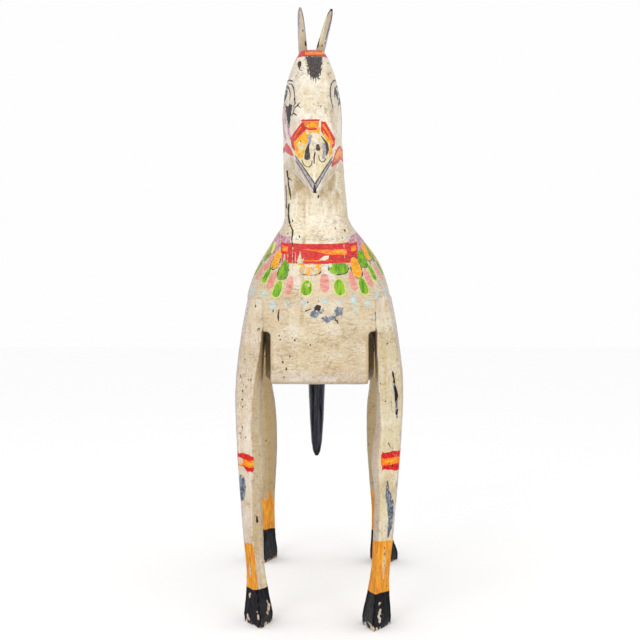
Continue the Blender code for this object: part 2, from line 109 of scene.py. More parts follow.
def stroke(a, b, points, half_width):
    """Signed distance to a brush line through points, with one half width or one at each point."""
    widths = np.broadcast_to(half_width, len(points))
    best = np.full(len(a), FAR)
    for (p, q), (wp, wq) in zip(zip(points, points[1:]), zip(widths, widths[1:])):
        dx, dy = q[0] - p[0], q[1] - p[1]
        t = np.clip(((a - p[0]) * dx + (b - p[1]) * dy) / (dx * dx + dy * dy), 0, 1)
        reach = np.hypot(a - p[0] - t * dx, b - p[1] - t * dy) - (wp + (wq - wp) * t)
        best = np.minimum(best, reach)
    return best


def patch(a, b, corners):
    """Signed distance to a polygon."""
    best = np.full(len(a), FAR)
    inside = np.zeros(len(a), bool)
    for p, q in zip(corners, corners[1:] + corners[:1]):
        dx, dy = q[0] - p[0], q[1] - p[1]
        t = np.clip(((a - p[0]) * dx + (b - p[1]) * dy) / (dx * dx + dy * dy), 0, 1)
        best = np.minimum(best, np.hypot(a - p[0] - t * dx, b - p[1] - t * dy))
        if dy != 0:
            inside ^= ((p[1] > b) != (q[1] > b)) & (a < p[0] + dx * (b - p[1]) / dy)
    return np.where(inside, -best, best)


def alike(colour, shape, *rows):
    """Marks of one colour and shape from rows of the shape's numbers."""
    return [(colour, shape, *row) for row in rows]


# ---- Carving: from CAD nodes to fine meshes ----


def cad_copy(nodes):
    """One welded mesh from CAD nodes, each given with its shift in Z."""
    bm = bmesh.new()
    for name, shift in nodes.items():
        before = len(bm.verts)
        bm.from_mesh(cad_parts[name].data)
        bm.verts.ensure_lookup_table()
        bmesh.ops.translate(bm, verts=bm.verts[before:], vec=(0, 0, shift * MM))
    bmesh.ops.remove_doubles(bm, verts=bm.verts, dist=0.01 * MM)
    return bm


def sharp_points(bm, angle=38.0, step=1.5):
    """Points along the mesh's hard edges."""
    points = []
    for edge in bm.edges:
        if len(edge.link_faces) == 2 and edge.calc_face_angle(0.0) > math.radians(angle):
            a, b = (v.co for v in edge.verts)
            count = max(1, round((b - a).length / (step * MM)))
            points += [a.lerp(b, (k + 0.5) / count) for k in range(count)]
    return points


def bury_top(bm, side):
    """Runs a foreleg's top on into the body, so that its flush joint doesn't show as a groove."""
    for v in bm.verts:
        x, _, z = np.array(v.co) / MM - OFFSET
        if z > LEG_TOP_Z - 2:
            v.co.z += BURY_UP * MM
            v.co.x -= side * 0.5 * MM
        if z > LEDGE_Z and side * x < JOINT_X + 1.5:
            v.co.x -= side * BURY_IN * MM


def voxel_remesh(bm, voxel):
    """The outer skin of a mesh as even quads of about one voxel."""
    mesh = bpy.data.meshes.new("remesh")
    bm.to_mesh(mesh)
    thing = bpy.data.objects.new("remesh", mesh)
    bpy.context.scene.collection.objects.link(thing)
    modifier = thing.modifiers.new("remesh", "REMESH")
    modifier.mode = "VOXEL"
    modifier.voxel_size = voxel * MM
    depsgraph = bpy.context.evaluated_depsgraph_get()
    out = bmesh.new()
    out.from_mesh(thing.evaluated_get(depsgraph).data)
    bpy.data.objects.remove(thing)
    bpy.data.meshes.remove(mesh)
    return out


def keep_largest(bm):
    """Drops every loose shell but the largest."""
    left = set(bm.verts)
    shells = []
    while left:
        queue = [left.pop()]
        shell = list(queue)
        while queue:
            for edge in queue.pop().link_edges:
                for v in edge.verts:
                    if v in left:
                        left.discard(v)
                        queue.append(v)
                        shell.append(v)
        shells.append(shell)
    shells.sort(key=len)
    for shell in shells[:-1]:
        bmesh.ops.delete(bm, geom=shell, context="VERTS")


def refine(bm, wanted):
    """Halves the quads whose middle, in the carving's millimetres, is wanted."""
    edges = set()
    for face in bm.faces:
        x, y, z = np.array(face.calc_center_median()) / MM - OFFSET
        if wanted(x, y, z):
            edges.update(face.edges)
    bmesh.ops.subdivide_edges(bm, edges=list(edges), cuts=1, use_grid_fill=True)


def edges_of(bm):
    bm.verts.index_update()
    return np.array([(e.verts[0].index, e.verts[1].index) for e in bm.edges])


def averaged(values, edges, count):
    """Each vertex's mean over its neighbours."""
    degree = np.bincount(edges.ravel(), minlength=count)
    total = np.zeros_like(values)
    for k in range(values.shape[1]):
        total[:, k] += np.bincount(edges[:, 0], values[edges[:, 1], k], count)
        total[:, k] += np.bincount(edges[:, 1], values[edges[:, 0], k], count)
    return total / np.maximum(degree, 1)[:, None]


def smoothed(points, edges, weight, rounds):
    """Softens a surface without shrinking it."""
    for k in range(2 * rounds):
        pull = 0.62 if k % 2 == 0 else -0.64
        points = points + (averaged(points, edges, len(points)) - points) * (pull * weight)[:, None]
    return points


def sharpness(points, normals, edges, rounds=5):
    """How far each vertex stands out from its surroundings, in millimetres: above 0 on ridges."""
    around = points
    for _ in range(rounds):
        around = averaged(around, edges, len(points))
    return np.einsum("ij,ij->i", points - around, normals)


def carve(nodes, voxel, rounds, rough, finer=(), edge_keep=0.12, buried_side=0):
    """A fine, softened and slightly uneven mesh of CAD nodes, and a blank canvas on it."""
    source = cad_copy(nodes)
    if buried_side:
        bury_top(source, buried_side)
    hard = sharp_points(source)
    tree = KDTree(max(len(hard), 1))
    for i, point in enumerate(hard):
        tree.insert(point, i)
    tree.balance()
    bm = voxel_remesh(source, voxel)
    source.free()
    keep_largest(bm)
    for region in finer:
        refine(bm, region)
    edges = edges_of(bm)
    points = np.array([v.co for v in bm.verts]) / MM
    reach = np.array([tree.find(v.co)[2] for v in bm.verts]) / MM if hard else np.full(len(points), FAR)
    weight = np.maximum(smoothstep(reach, 1.0, 9.0), edge_keep)
    points = smoothed(points, edges, weight, rounds)
    for v, place in zip(bm.verts, points):
        v.co = place * MM
    bm.normal_update()
    normals = np.array([v.normal for v in bm.verts])
    points = points - OFFSET
    push = rough * (0.6 * noise(points, (26, 26, 38), 1) + 0.4 * noise(points, 11, 2))
    points = points + normals * push[:, None]
    for v, place in zip(bm.verts, points + OFFSET):
        v.co = place * MM
    bm.normal_update()
    normals = np.array([v.normal for v in bm.verts])
    return bm, Canvas(points, normals, sharpness(points, normals, edges))


# ---- The canvas ----

LAYERS = ("ochre", "tan", "mauve", "teal", "pink", "red", "orange", "yellow", "lime", "green", "grey")
LAYERS += ("bristle", "line", "black", "slate", "chip", "crack", "flaked")


class Canvas:
    """The paint fields of one carved piece."""

    def __init__(self, points, normals, ridge):
        self.x, self.y, self.z = points.T
        self.nx, self.ny, self.nz = normals.T
        self.points = points
        self.fields = {name: np.full(len(points), FAR) for name in LAYERS}
        self.fields["ridge"] = ridge
        # Darkening towards dust brown, from 0 to 1: stains and painted shade.
        self.fields["grime_and_shade"] = np.zeros(len(points))
        self.fields["high"] = np.zeros(len(points))
        # Painted shade: a lavender tint on the surfaces that face sideways, from 0 to 1.
        self.fields["cool_shade"] = smoothstep(np.abs(normals[:, 0]), 0.55, 0.97)

    def facing(self, view):
        """A view's two coordinates of each vertex, and which vertices it sees."""
        if view == "front":
            return self.x, self.z, self.ny < 0.1
        side = -1 if view == "left" else 1
        return self.y, self.z, side * self.nx > 0.15

    def lay(self, colour, distance, where=True):
        """Adds an area of colour, given its signed distances."""
        distance = np.where(where, distance, FAR)
        self.fields[colour] = np.minimum(self.fields[colour], distance)

    def lift(self, colours, distance, where=True):
        """Takes colours away from an area."""
        clear = np.where(where, -distance, -FAR)
        for colour in colours:
            self.fields[colour] = np.maximum(self.fields[colour], clear)

    def darken(self, amount):
        """Darkens towards dust brown, from 0 to 1: stains in some places, painted shade in others."""
        self.fields["grime_and_shade"] = np.maximum(self.fields["grime_and_shade"], amount)

    def add(self, a, b, marks, where=True):
        """Adds marks, each a colour, a shape and its numbers, by two coordinates of each vertex."""
        for colour, shape, *numbers in marks:
            self.lay(colour, shape(a, b, *numbers), where)

    def draw(self, view, *marks, where=True):
        """Adds marks as seen in a view."""
        a, b, seen = self.facing(view)
        self.add(a, b, marks, seen & where)

    def store(self, bm):
        """Writes the fields to the mesh as attributes."""
        for name, values in self.fields.items():
            layer = bm.verts.layers.float.new(name)
            for v, value in zip(bm.verts, np.clip(values, -FAR, FAR)):
                v[layer] = value


def add_piece(name, bm, material, slot, *nodes, flat_above=50.0):
    """Turns a finished mesh into a piece of the horse that replaces its CAD nodes."""
    mesh = bpy.data.meshes.new(name)
    bm.to_mesh(mesh)
    bm.free()
    mesh.shade_smooth()
    mesh.set_sharp_from_angle(angle=math.radians(flat_above))
    mesh.materials.append(material)
    thing = bpy.data.objects.new(name, mesh)
    bpy.context.scene.collection.objects.link(thing)
    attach(thing, "root")
    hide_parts(*nodes)
    return thing


# ---- Materials ----


class Graph:
    """Short hands for building a material's nodes."""

    def __init__(self, name):
        self.material = bpy.data.materials.new(name)
        self.material.use_nodes = True
        self.tree = self.material.node_tree
        self.shader = self.tree.nodes["Principled BSDF"]
        self.place = self.position()

    def put(self, socket, value):
        if isinstance(value, bpy.types.NodeSocket):
            self.tree.links.new(value, socket)
        else:
            socket.default_value = value

    def node(self, kind, values, **settings):
        """A new node with its settings, and values for its inputs by name or number."""
        node = self.tree.nodes.new("ShaderNode" + kind)
        for name, setting in settings.items():
            setattr(node, name, setting)
        for key, value in values.items():
            self.put(node.inputs[key], value)
        return node

    def position(self):
        """The object's own coordinates in millimetres."""
        return self.stretch(self.node("TexCoord", {}).outputs["Object"], (1 / MM,) * 3)

    def stretch(self, vector, scale):
        return self.node("VectorMath", {0: vector, 1: scale}, operation="MULTIPLY").outputs[0]

    def math(self, operation, a, b, clamp=False):
        return self.node("Math", {0: a, 1: b}, operation=operation, use_clamp=clamp).outputs[0]

    def times(self, a, b):
        return self.math("MULTIPLY", a, b)

    def plus(self, a, b):
        return self.math("ADD", a, b)

    def minus(self, a, b, clamp=False):
        return self.math("SUBTRACT", a, b, clamp)

    def larger(self, a, b):
        return self.math("MAXIMUM", a, b)

    def swing(self, value, middle, gain):
        """How far a value is from its middle, times a gain."""
        return self.times(self.minus(value, middle), gain)

    def ramp(self, value, low, high, start=0.0, end=1.0):
        """A smooth step from start to end as value goes from low to high."""
        values = dict(enumerate((value, low, high, start, end)))
        return self.node("MapRange", values, interpolation_type="SMOOTHSTEP").outputs[0]

    def mix(self, factor, a, b):
        return self.node("Mix", {"Factor": factor, "A": a, "B": b}, data_type="RGBA").outputs["Result"]

    def scaled(self, sizes):
        """The position, stretched so that one unit is one of these sizes along each axis."""
        return self.stretch(self.place, tuple(1 / s for s in sizes))

    def noise(self, wavelength, detail=2.0, rough=0.5, seed=0.0):
        """Noise centred on 0.5; a wavelength may differ by axis."""
        values = {"Vector": self.scaled(np.broadcast_to(wavelength, 3)), "W": seed, "Scale": 1.0}
        values.update({"Detail": detail, "Roughness": rough})
        return self.node("TexNoise", values, noise_dimensions="4D").outputs[0]

    def cells(self, sizes, feature, wobble, seed):
        """A Voronoi pattern, its cells pushed about by noise."""
        vector = self.scaled(sizes)
        push = self.node("TexNoise", {"Vector": vector, "Scale": 1.7, "Detail": 2.0}).outputs["Color"]
        push = self.stretch(push, (wobble,) * 3)
        pushed = self.node("VectorMath", {0: vector, 1: push}, operation="ADD").outputs[0]
        values = {"Vector": pushed, "W": seed, "Scale": 1.0}
        return self.node("TexVoronoi", values, voronoi_dimensions="4D", feature=feature)

    def field(self, name):
        return self.node("Attribute", {}, attribute_name=name).outputs["Fac"]

    def bump(self, height, strength):
        """A bump from a height in millimetres."""
        node = self.node("Bump", {"Strength": strength, "Distance": MM, "Height": height})
        self.put(self.shader.inputs["Normal"], node.outputs[0])

    def finish(self, colour, roughness, coat=0.0, specular=0.28):
        self.put(self.shader.inputs["Base Color"], colour)
        self.put(self.shader.inputs["Roughness"], roughness)
        self.shader.inputs["Specular IOR Level"].default_value = specular
        self.shader.inputs["Coat Weight"].default_value = coat
        self.shader.inputs["Coat Roughness"].default_value = 0.22
        return self.material


LIGHT_GAIN = 1.22  # how much brighter than its colour the studio shows a surface facing the camera


def rgb(red, green, blue):
    """The linear colour that the studio shows as these 0-255 screen values."""
    parts = [c / 255 for c in (red, green, blue)]
    linear = [p / 12.92 if p <= 0.04045 else ((p + 0.055) / 1.055) ** 2.4 for p in parts]
    return (*(p / LIGHT_GAIN for p in linear), 1.0)


BLACK = rgb(5, 5, 9)
SLATE = rgb(92, 102, 116)
WORN_SLATE = rgb(146, 154, 160)
UMBER = rgb(122, 84, 48)
# Painted shade's lavender, for the surfaces that face sideways.
SHADE_LAVENDER = rgb(206, 196, 200)
EARTH = rgb(160, 134, 98)
# Dust brown, laid for stains and for painted shade alike.
DUST_AND_SHADE = rgb(190, 168, 128)
RUST = rgb(158, 112, 62)
TAWNY = rgb(208, 156, 88)

# Each decorating colour: two tones that its brush strokes run between, and how much of it has flaked
TONES = {
    "ochre": (rgb(240, 170, 64), rgb(218, 132, 38), 0.06),
    "tan": (rgb(230, 220, 186), rgb(212, 196, 152), 0.05),
    "mauve": (rgb(216, 176, 190), rgb(166, 88, 116), 0.20),
    "teal": (rgb(206, 216, 206), rgb(166, 190, 192), 0.22),
    "pink": (rgb(228, 168, 152), rgb(214, 132, 120), 0.08),
    "red": (rgb(222, 60, 50), rgb(190, 22, 38), 0.08),
    "orange": (rgb(250, 156, 40), rgb(236, 100, 34), 0.08),
    "yellow": (rgb(252, 190, 50), rgb(236, 148, 20), 0.12),
    "lime": (rgb(220, 222, 130), rgb(198, 206, 92), 0.06),
    "green": (rgb(142, 188, 20), rgb(74, 142, 8), 0.11),
    "grey": (rgb(190, 180, 188), rgb(136, 130, 140), 0.06),
    "bristle": (rgb(84, 78, 76), rgb(38, 36, 40), 0.04),
    "line": (rgb(88, 82, 78), rgb(46, 42, 44), 0.02),
    "black": (BLACK, rgb(20, 21, 29), 0.06),
}


def brushed_ground(g, look, grain, seed):
    """The ground coat: cream, yellowed in clouds and streaks, speckled, lavender as painted shade where it
    faces sideways, darkened by stains and painted shade, and rubbed on its ridges.
    """
    clouds = g.noise(30, 3, 0.55, seed + 2)
    streaks = g.noise(look.get("streaks", (7, 7, 60)), 4, 0.6, seed + 3)
    strokes = g.noise(tuple(s * 0.5 for s in grain), 4, 0.65, seed + 1)
    patches = g.ramp(g.noise(15, 3, 0.6, seed + 10), 0.38, 0.62, 0.2, 1.0)
    speckle = g.ramp(g.noise(1.9, 4, 0.75, seed + 4), 0.53, 0.66)
    above = look.get("above", look)
    light, cream, deep = (g.mix(g.field("high"), look[tone], above[tone])
                          for tone in ("light", "cream", "dark"))
    colour = g.mix(g.ramp(clouds, 0.35, 0.65), light, cream)
    colour = g.mix(g.ramp(streaks, 0.46, 0.70, 0.0, look.get("stain", 0.55)), colour, deep)
    # Painted shade: lavender over the ground where the surface faces sideways.
    colour = g.mix(g.times(g.field("cool_shade"), 0.62), colour, SHADE_LAVENDER)
    colour = g.mix(g.ramp(strokes, 0.50, 0.75, 0.0, 0.65), colour, light)
    colour = g.mix(g.times(g.times(speckle, patches), 0.8), colour, deep)
    mottle = g.ramp(g.noise(tuple(s * 0.8 for s in grain), 5, 0.75, seed + 16), 0.48, 0.74, 0.0, 0.62)
    colour = g.mix(mottle, colour, EARTH)

    # Dust brown wherever stains and painted shade lie, broken up by the brush strokes.
    dirt_and_shade = g.plus(g.field("grime_and_shade"), g.swing(strokes, 0.5, 1.1))
    colour = g.mix(g.times(g.ramp(dirt_and_shade, 0.1, 0.9), 0.85), colour, DUST_AND_SHADE)
    ripples = g.ramp(g.noise((11, 11, 1.9), 4, 0.68, seed + 13), 0.55, 0.66)
    # Rust-brown ripples and specks inside the stains and the painted shade.
    rust_where_darkened = g.times(g.ramp(g.field("grime_and_shade"), 0.02, 0.35), g.larger(ripples, speckle))
    colour = g.mix(g.times(rust_where_darkened, 0.45), colour, RUST)

    rubbed = g.ramp(g.plus(g.field("ridge"), g.swing(speckle, 0.4, 0.35)), 0.30, 0.62)
    return g.mix(g.times(g.times(rubbed, 0.55), patches), colour, TAWNY), clouds, strokes, speckle


def decorate(g, colour, ragged, strokes, flake_noise, seed):
    """Lays the decorating colours over the ground. Returns colour, the paint's cover and the black's."""
    worn = g.ramp(g.field("flaked"), -2.5, 2.0, 0.20, 0.0)
    hairs = g.swing(g.noise((0.9, 0.9, 14), 2, 0.6, seed + 14), 0.5, 9.0)
    drips = g.noise((2.2, 2.2, 16), 3, 0.6, seed + 15)
    edges = {"bristle": hairs, "line": g.times(ragged, 0.4)}
    covered = 0.0
    for layer, (tone, deep, loss) in TONES.items():
        cover = g.ramp(g.plus(g.field(layer), edges.get(layer, ragged)), 0.3, -0.3)
        limit = g.minus(0.80 - loss, worn)
        flaking = drips if layer == "mauve" else flake_noise
        cover = g.times(cover, g.ramp(g.minus(flaking, limit), 0.0, 0.03, 1.0, 0.0))
        brush = drips if layer in ("mauve", "ochre", "green") else strokes
        colour = g.mix(cover, colour, g.mix(g.ramp(brush, 0.36, 0.62), tone, deep))
        covered = g.larger(covered, cover)
    return colour, covered, cover


def paint(name, look):
    """Old paint on carved wood. A look's grain is the length of its cracks along X, Y and Z."""
    g = Graph(name)
    seed = look["seed"]
    grain = look.get("grain", (3.2, 3.2, 9.0))
    ragged = g.plus(g.swing(g.noise(4.0, 2, 0.6, seed), 0.5, 1.2),
                    g.swing(g.noise(1.1, 2, 0.6, seed), 0.5, 0.35))
    jagged = g.cells((2.4, 2.4, 3.2), "F1", 0.7, seed + 11).outputs["Distance"]
    jagged = g.swing(jagged, 0.45, look.get("jagged", 3.4))
    ground, clouds, strokes, speckle = brushed_ground(g, look, grain, seed)
    flake_noise = g.noise((4.0, 4.0, 6.0), 5, 0.72, seed + 5)
    colour, covered, black_cover = decorate(g, ground, ragged, strokes, flake_noise, seed)

    # Fine cracks through all the paint
    crazing = g.cells(grain, "DISTANCE_TO_EDGE", 0.55, seed)
    patchy = g.ramp(g.noise(22, 3, 0.6, seed + 6), 0.44, 0.66)
    lines = g.times(g.ramp(crazing.outputs["Distance"], 0.01, 0.06, 1.0, 0.0), patchy)
    colour = g.mix(g.times(g.times(lines, g.minus(1.0, black_cover)), 0.48), colour, UMBER)
    splits = g.ramp(g.plus(g.field("crack"), g.times(ragged, 0.8)), 0.30, -0.25)

    # Flakes down to the slate undercoat and the dark below it
    small = g.cells((1.2, 1.2, 2.2), "F1", 0.6, seed + 7)
    density = g.ramp(g.noise(26, 2, 0.5, seed + 12), 0.35, 0.68, 0.985, look.get("specks", 0.92))
    specks = g.ramp(g.minus(small.outputs["Color"], density), 0.0, 0.004)
    big = g.cells((4.5, 4.5, 7.0), "F1", 0.9, seed + 8)
    flakes = g.ramp(g.minus(big.outputs["Color"], 0.985), 0.0, 0.004)
    slate = g.ramp(g.plus(g.field("slate"), jagged), 0.5, -0.5)
    chip = g.ramp(g.plus(g.field("chip"), g.times(jagged, 0.6)), 0.3, -0.3)
    slate_tone = g.mix(g.ramp(flake_noise, 0.44, 0.60), look.get("under", SLATE), WORN_SLATE)
    slate_tone = g.mix(g.ramp(speckle, 0.2, 0.9, 0.0, 0.5), slate_tone, rgb(60, 66, 78))
    colour = g.mix(g.times(slate, g.ramp(flake_noise, 0.36, 0.43)), colour, slate_tone)
    dark = g.larger(g.larger(specks, flakes), g.larger(chip, splits))
    colour = g.mix(g.times(dark, 0.97), colour, g.mix(clouds, BLACK, rgb(40, 32, 28)))

    height = g.times(covered, 0.10)
    for layer, share in ((strokes, 0.30), (speckle, -0.10), (g.noise(8, 3, 0.5, seed + 9), 1.1)):
        height = g.plus(height, g.times(layer, share))
    for layer, share in ((lines, 0.12), (g.larger(dark, slate), 0.28)):
        height = g.minus(height, g.times(layer, share))
    g.bump(height, 1.0)
    roughness = g.plus(g.ramp(clouds, 0.3, 0.7, 0.38, 0.52), g.times(g.larger(dark, speckle), 0.2))
    roughness = g.minus(roughness, g.times(black_cover, 0.12), True)
    return g.finish(colour, roughness, look.get("coat", 0.06), look.get("specular", 0.28))


def black_paint(name):
    g = Graph(name)
    strokes = g.noise((2.5, 2.5, 30), 4, 0.6, 3.0)
    wear = g.ramp(g.noise((3, 3, 14), 5, 0.7, 5.0), 0.66, 0.72)
    # The strokes run from black to a bluish grey that is painted highlight along the tail's facets.
    colour = g.mix(g.ramp(strokes, 0.42, 0.66), rgb(8, 8, 14), rgb(58, 62, 84))
    colour = g.mix(wear, colour, rgb(92, 82, 74))
    g.bump(g.plus(g.times(strokes, 0.35), g.times(wear, -0.15)), 0.8)
    return g.finish(colour, g.ramp(strokes, 0.3, 0.8, 0.2, 0.42), 0.1, 0.24)


def bare_wood(name):
    g = Graph(name)
    rings = g.noise((1.6, 22, 22), 4, 0.6, 2.0)
    colour = g.mix(g.ramp(rings, 0.35, 0.7), rgb(176, 132, 84), rgb(128, 88, 52))
    g.bump(g.times(rings, 0.2), 0.7)
    return g.finish(colour, g.ramp(rings, 0.3, 0.7, 0.55, 0.72))


CREAM = {
    "light": rgb(247, 241, 225),
    "cream": rgb(236, 224, 196),
    "dark": rgb(206, 172, 122),
    "seed": 1.0,
}
LOW_CREAM = {
    "light": rgb(229, 220, 202),
    "cream": rgb(217, 201, 168),
    "dark": rgb(182, 148, 104),
    "above": CREAM,
    "grain": (9.0, 9.0, 3.4),
    "streaks": (30, 30, 14),
    "stain": 0.4,
    "seed": 2.0,
}

# ---- Painting the body ----

# The collar runs round the shoulders and rises towards the withers by this much for each mm back
COLLAR_RISE = 0.38
COLLAR_FRONT_Y = -160.0


def shoulder_outline():
    """Even points on half of the shoulders' outline from above, and how far round each one is."""
    half_width, half_depth, power = 72, 58, 2 / 2.8
    points = [(half_width * math.sin(a) ** power, -165 + half_depth * (1 - math.cos(a) ** power))
              for a in np.radians(np.linspace(0, 90, 60))]
    points = np.array(points + [(half_width, -107 + 2.0 * k) for k in range(1, 130)])
    lengths = np.concatenate(([0], np.cumsum(np.hypot(*np.diff(points, axis=0).T))))
    around = np.arange(0, lengths[-1], 0.5)
    return np.stack([np.interp(around, lengths, axis) for axis in points.T], axis=1), around


def near_collar(c):
    return (np.abs(c.z - 340) < 95) & (c.y < 60)


def collar_place(canvas):
    """Each vertex's distance round the shoulders from the breast, and its height on the collar."""
    outline, lengths = shoulder_outline()
    around = np.zeros(len(canvas.x))
    near = np.flatnonzero(near_collar(canvas))
    for part in np.array_split(near, 1 + len(near) // 4000):
        x, y = np.abs(canvas.x[part]), canvas.y[part]
        gap = np.hypot(x[:, None] - outline[:, 0], y[:, None] - outline[:, 1])
        around[part] = lengths[gap.argmin(axis=1)]
    height = canvas.z - COLLAR_RISE * (canvas.y - COLLAR_FRONT_Y)
    return around * np.sign(canvas.x), height


COLLAR_SPREAD = 0.0065  # the share by which the motifs spread apart for each mm down


def petal(u, h, middle, half_width, half_height):
    """A petal, a little narrower at its top and leaning in with the shoulders."""
    rise = np.clip(h - middle[1], -1.5 * half_height, 1.5 * half_height)
    drift = middle[0] / (1 + COLLAR_SPREAD * rise) - middle[0]
    narrow = 1 - 0.12 * np.clip(rise / half_height, -1, 1)
    across = middle[0] + (u - drift - middle[0]) / narrow
    shape = oval(across, h, middle, (half_width, half_height))
    if half_height > half_width:
        top = middle[1] + half_height - half_width
        blunt = stroke(across, h, [(middle[0], 2 * middle[1] - top), (middle[0], top)], half_width)
        shape = (shape + blunt) / 2
    return shape


def flank_row(first, step, height, wide, tall, colours):
    """The same motifs carried on round both flanks."""
    return [(side * (first + step * k), height, wide, tall, colours[k % 2])
            for k in range(10) for side in (-1, 1)]


# The collar's motifs: distance round from the breast, height, half width, half height and colour
SCALLOPS = (
    (-59, 380, 5.5, 8.5, "lime"), (-48, 369, 5.4, 9, "yellow"), (-37, 361, 5, 9, "green"),
    (-9, 363, 10.5, 5.5, "yellow"), (19, 364.5, 10, 6.6, "green"), (38, 363, 5.4, 9.6, "yellow"),
    (47.5, 370, 5.8, 8.5, "green"), (58, 374, 6, 9, "yellow"),
    *flank_row(71, 13.5, 371, 6, 9, ("green", "yellow")),
)
PETALS = (
    (-60, 364, 3.6, 8.4, "pink"), (-57, 353, 3.2, 7.2, "green"), (-49, 350, 3.6, 8.6, "pink"),
    (-42, 342.6, 3.9, 8, "green"), (-30, 347, 3.3, 9, "pink"), (-13, 345, 5.2, 7.2, "green"),
    (5, 350, 4.7, 9.2, "pink"), (20, 345.4, 5, 7.8, "green"), (33.5, 351, 3.3, 9.2, "pink"),
    (44.4, 344.8, 4, 7.8, "green"), (51, 352, 3.4, 8.6, "pink"), (58.5, 355, 2.9, 7.6, "green"),
    *flank_row(72, 12.5, 353, 4.6, 8.8, ("pink", "green")),
)
DOTS = (
    (-56, 336, 2.4, 3.8), (-47, 327, 2.8, 4.6), (-32, 329, 2.8, 3), (-16, 330, 3, 2.8),
    (5.5, 332, 3.6, 2.8), (20, 330, 2.2, 2.2), (34, 333, 3, 5.2), (36, 323, 2.2, 3.2),
    (48, 328, 2.8, 3.2), (58, 334, 2.6, 3.8), *flank_row(72, 13, 334, 3, 4, ("teal", "teal")),
)
BAND_MARKS = (
    ("red", box, (0, 377.6), (31.5, 9.6)),
    *alike("orange", stroke,
           ([(-20, 382), (-4, 381), (6, 379.6), (26, 378.4)], (0.2, 0.7, 2.2, 2.8)),
           ([(-22, 371), (-8, 371.2), (14, 371)], (0.2, 0.8, 0.2))),
    *alike("yellow", box, ((19, 379.4), (5.5, 1)), ((-10, 367.2), (12, 0.8))),
    *alike("teal", oval, *(((6.2 * k + 1, 391.5), (1.9, 1.1)) for k in range(-5, 6))),
)
BAND_CORNER = (("red", box, (37, 377), (6, 9)), ("orange", box, (37.6, 380.5), (3.8, 2.6)))
BAND_WEAR = (
    (patch, [(-0.5, 371.8), (4, 375.6), (9.5, 376), (9, 373), (5, 371.4)]),
    (patch, [(-23, 371), (-20, 380), (-18, 371.5), (-15.5, 375), (-17, 368), (-22, 367)]),
    (stroke, [(25.6, 386), (26, 372.5)], 0.35),
    (stroke, [(-28, 386), (-27.6, 368)], 0.35),
    (stroke, [(-25, 378), (-24.6, 366)], 0.35),
)


def paint_band(c, u, h, outside):
    """The collar's red band, with worn corners and mauve striped sides."""
    across = np.abs(u)
    c.add(u, h, BAND_MARKS, outside)
    c.add(across, h, BAND_CORNER, outside)
    low_left = box(u, h, (-37.5, 371), (4.5, 4.5))
    c.lay("mauve", low_left, outside)
    c.lift(("red",), low_left, outside & (np.abs(u + 35) > 1) & (np.abs(u + 39.5) > 0.7))
    c.lift(("mauve",), np.abs(u + 37.3) - 0.9, outside & (h < 376))
    lowest = 366.5 + 19.5 * smoothstep(42.5 - across, 0, 2)
    c.lay("mauve", np.maximum(np.maximum(h - 392.5, lowest - h), 31.5 - across), outside)
    c.lift(("mauve",), np.maximum(np.abs(across - 45.5) - 0.5, 372 - h), outside)
    for shape, *numbers in BAND_WEAR:
        c.lift(("red", "orange"), shape(u, h, *numbers), outside)


def paint_collar(c):
    """The painted collar: a band with scallops, petals and dots hanging from it."""
    u, h = collar_place(c)
    outside = near_collar(c) & ((c.nz < 0.82) | (c.y < -120))
    paint_band(c, u, h, outside)
    for place, height, wide, tall, colour in SCALLOPS:
        top = 368.5 + 0.5 * max(0, abs(place) - 30)
        hang = np.maximum(petal(u, h, (place, height), wide, tall), h - top)
        c.lay("black", np.maximum(hang - 0.8, h - height - 2), outside)
        c.lift(("black", "red", "mauve", "pink"), hang, outside)
        c.lay(colour, hang, outside)
    for place, height, wide, tall, colour in PETALS:
        shape = petal(u, h, (place, height), wide, tall)
        if colour == "green":
            c.lay("lime", shape - 0.9, outside)
        c.lay(colour, shape, outside)
    for place, height, wide, tall, *_ in DOTS:
        c.lay("teal", oval(u, h, (place, height), (wide, tall)), outside)


CHEST_CHIP = [(-6.5, 323), (-2, 327), (2, 325), (1.5, 320), (-3, 320)]
CHEST_MARKS = (
    *alike("slate", oval, ((-5, 317), (4.5, 5)), ((1, 321), (4, 4)), ((7, 311), (5, 3.8)),
           ((13, 313), (4, 3.2)), ((19.5, 319), (4.8, 5.2))),
    *alike("chip", patch,
           (CHEST_CHIP,),
           ([(16, 312), (19, 310), (20, 306), (16.5, 307)],),
           ([(-1, 302), (1, 302), (1, 299.5), (-1, 299.5)],),
           ([(55.5, 319), (57.5, 318), (58, 311), (56, 309)],),
           ([(-42, 292), (-40, 292), (-40, 290), (-42, 290)],)),
    *alike("crack", stroke,
           ([(-40.5, 322), (-41.5, 314), (-40.8, 309)], (0.5, 0.9, 0.4)),
           ([(-31.5, 417), (-30, 408), (-27, 401), (-28, 392), (-26.5, 384)], (0.9, 0.6, 0.9, 0.5, 0.4)),
           ([(-27, 382), (-26, 373), (-27, 362)], (0.1, 0.35, 0.1)),
           ([(-8, 322), (-14, 320)], (0.3, 0.6))),
    *alike("flaked", oval, ((-31, 374), (3, 10)), ((-9, 361), (13, 7)), ((11, 366), (3, 4)),
           ((-11, 346), (4, 5))),
)


SADDLE_Y = 38  # the middle of the saddle cloth


def paint_saddle(c):
    """A saddle cloth with a fringe of petals, in the collar's colours."""
    over = c.z > 250
    length = np.abs(c.y - SADDLE_Y)
    cloth = np.maximum(length - 38, 345 - c.z)
    middle = np.maximum(length - 15, 362 - c.z)
    c.lay("yellow", np.abs(cloth + 2.5) - 2.5, over)
    c.lay("red", cloth + 5, over)
    c.lay("orange", np.maximum(length - 20, 357 - c.z), over)
    c.lay("red", middle, over & (np.abs(c.x) < 60))
    c.lift(("orange",), middle, over)
    for side in ("left", "right"):
        for k in range(-3, 4):
            c.draw(side, (("green", "pink")[k % 2], oval, (SADDLE_Y + 12 * k, 335), (4.4, 8)))


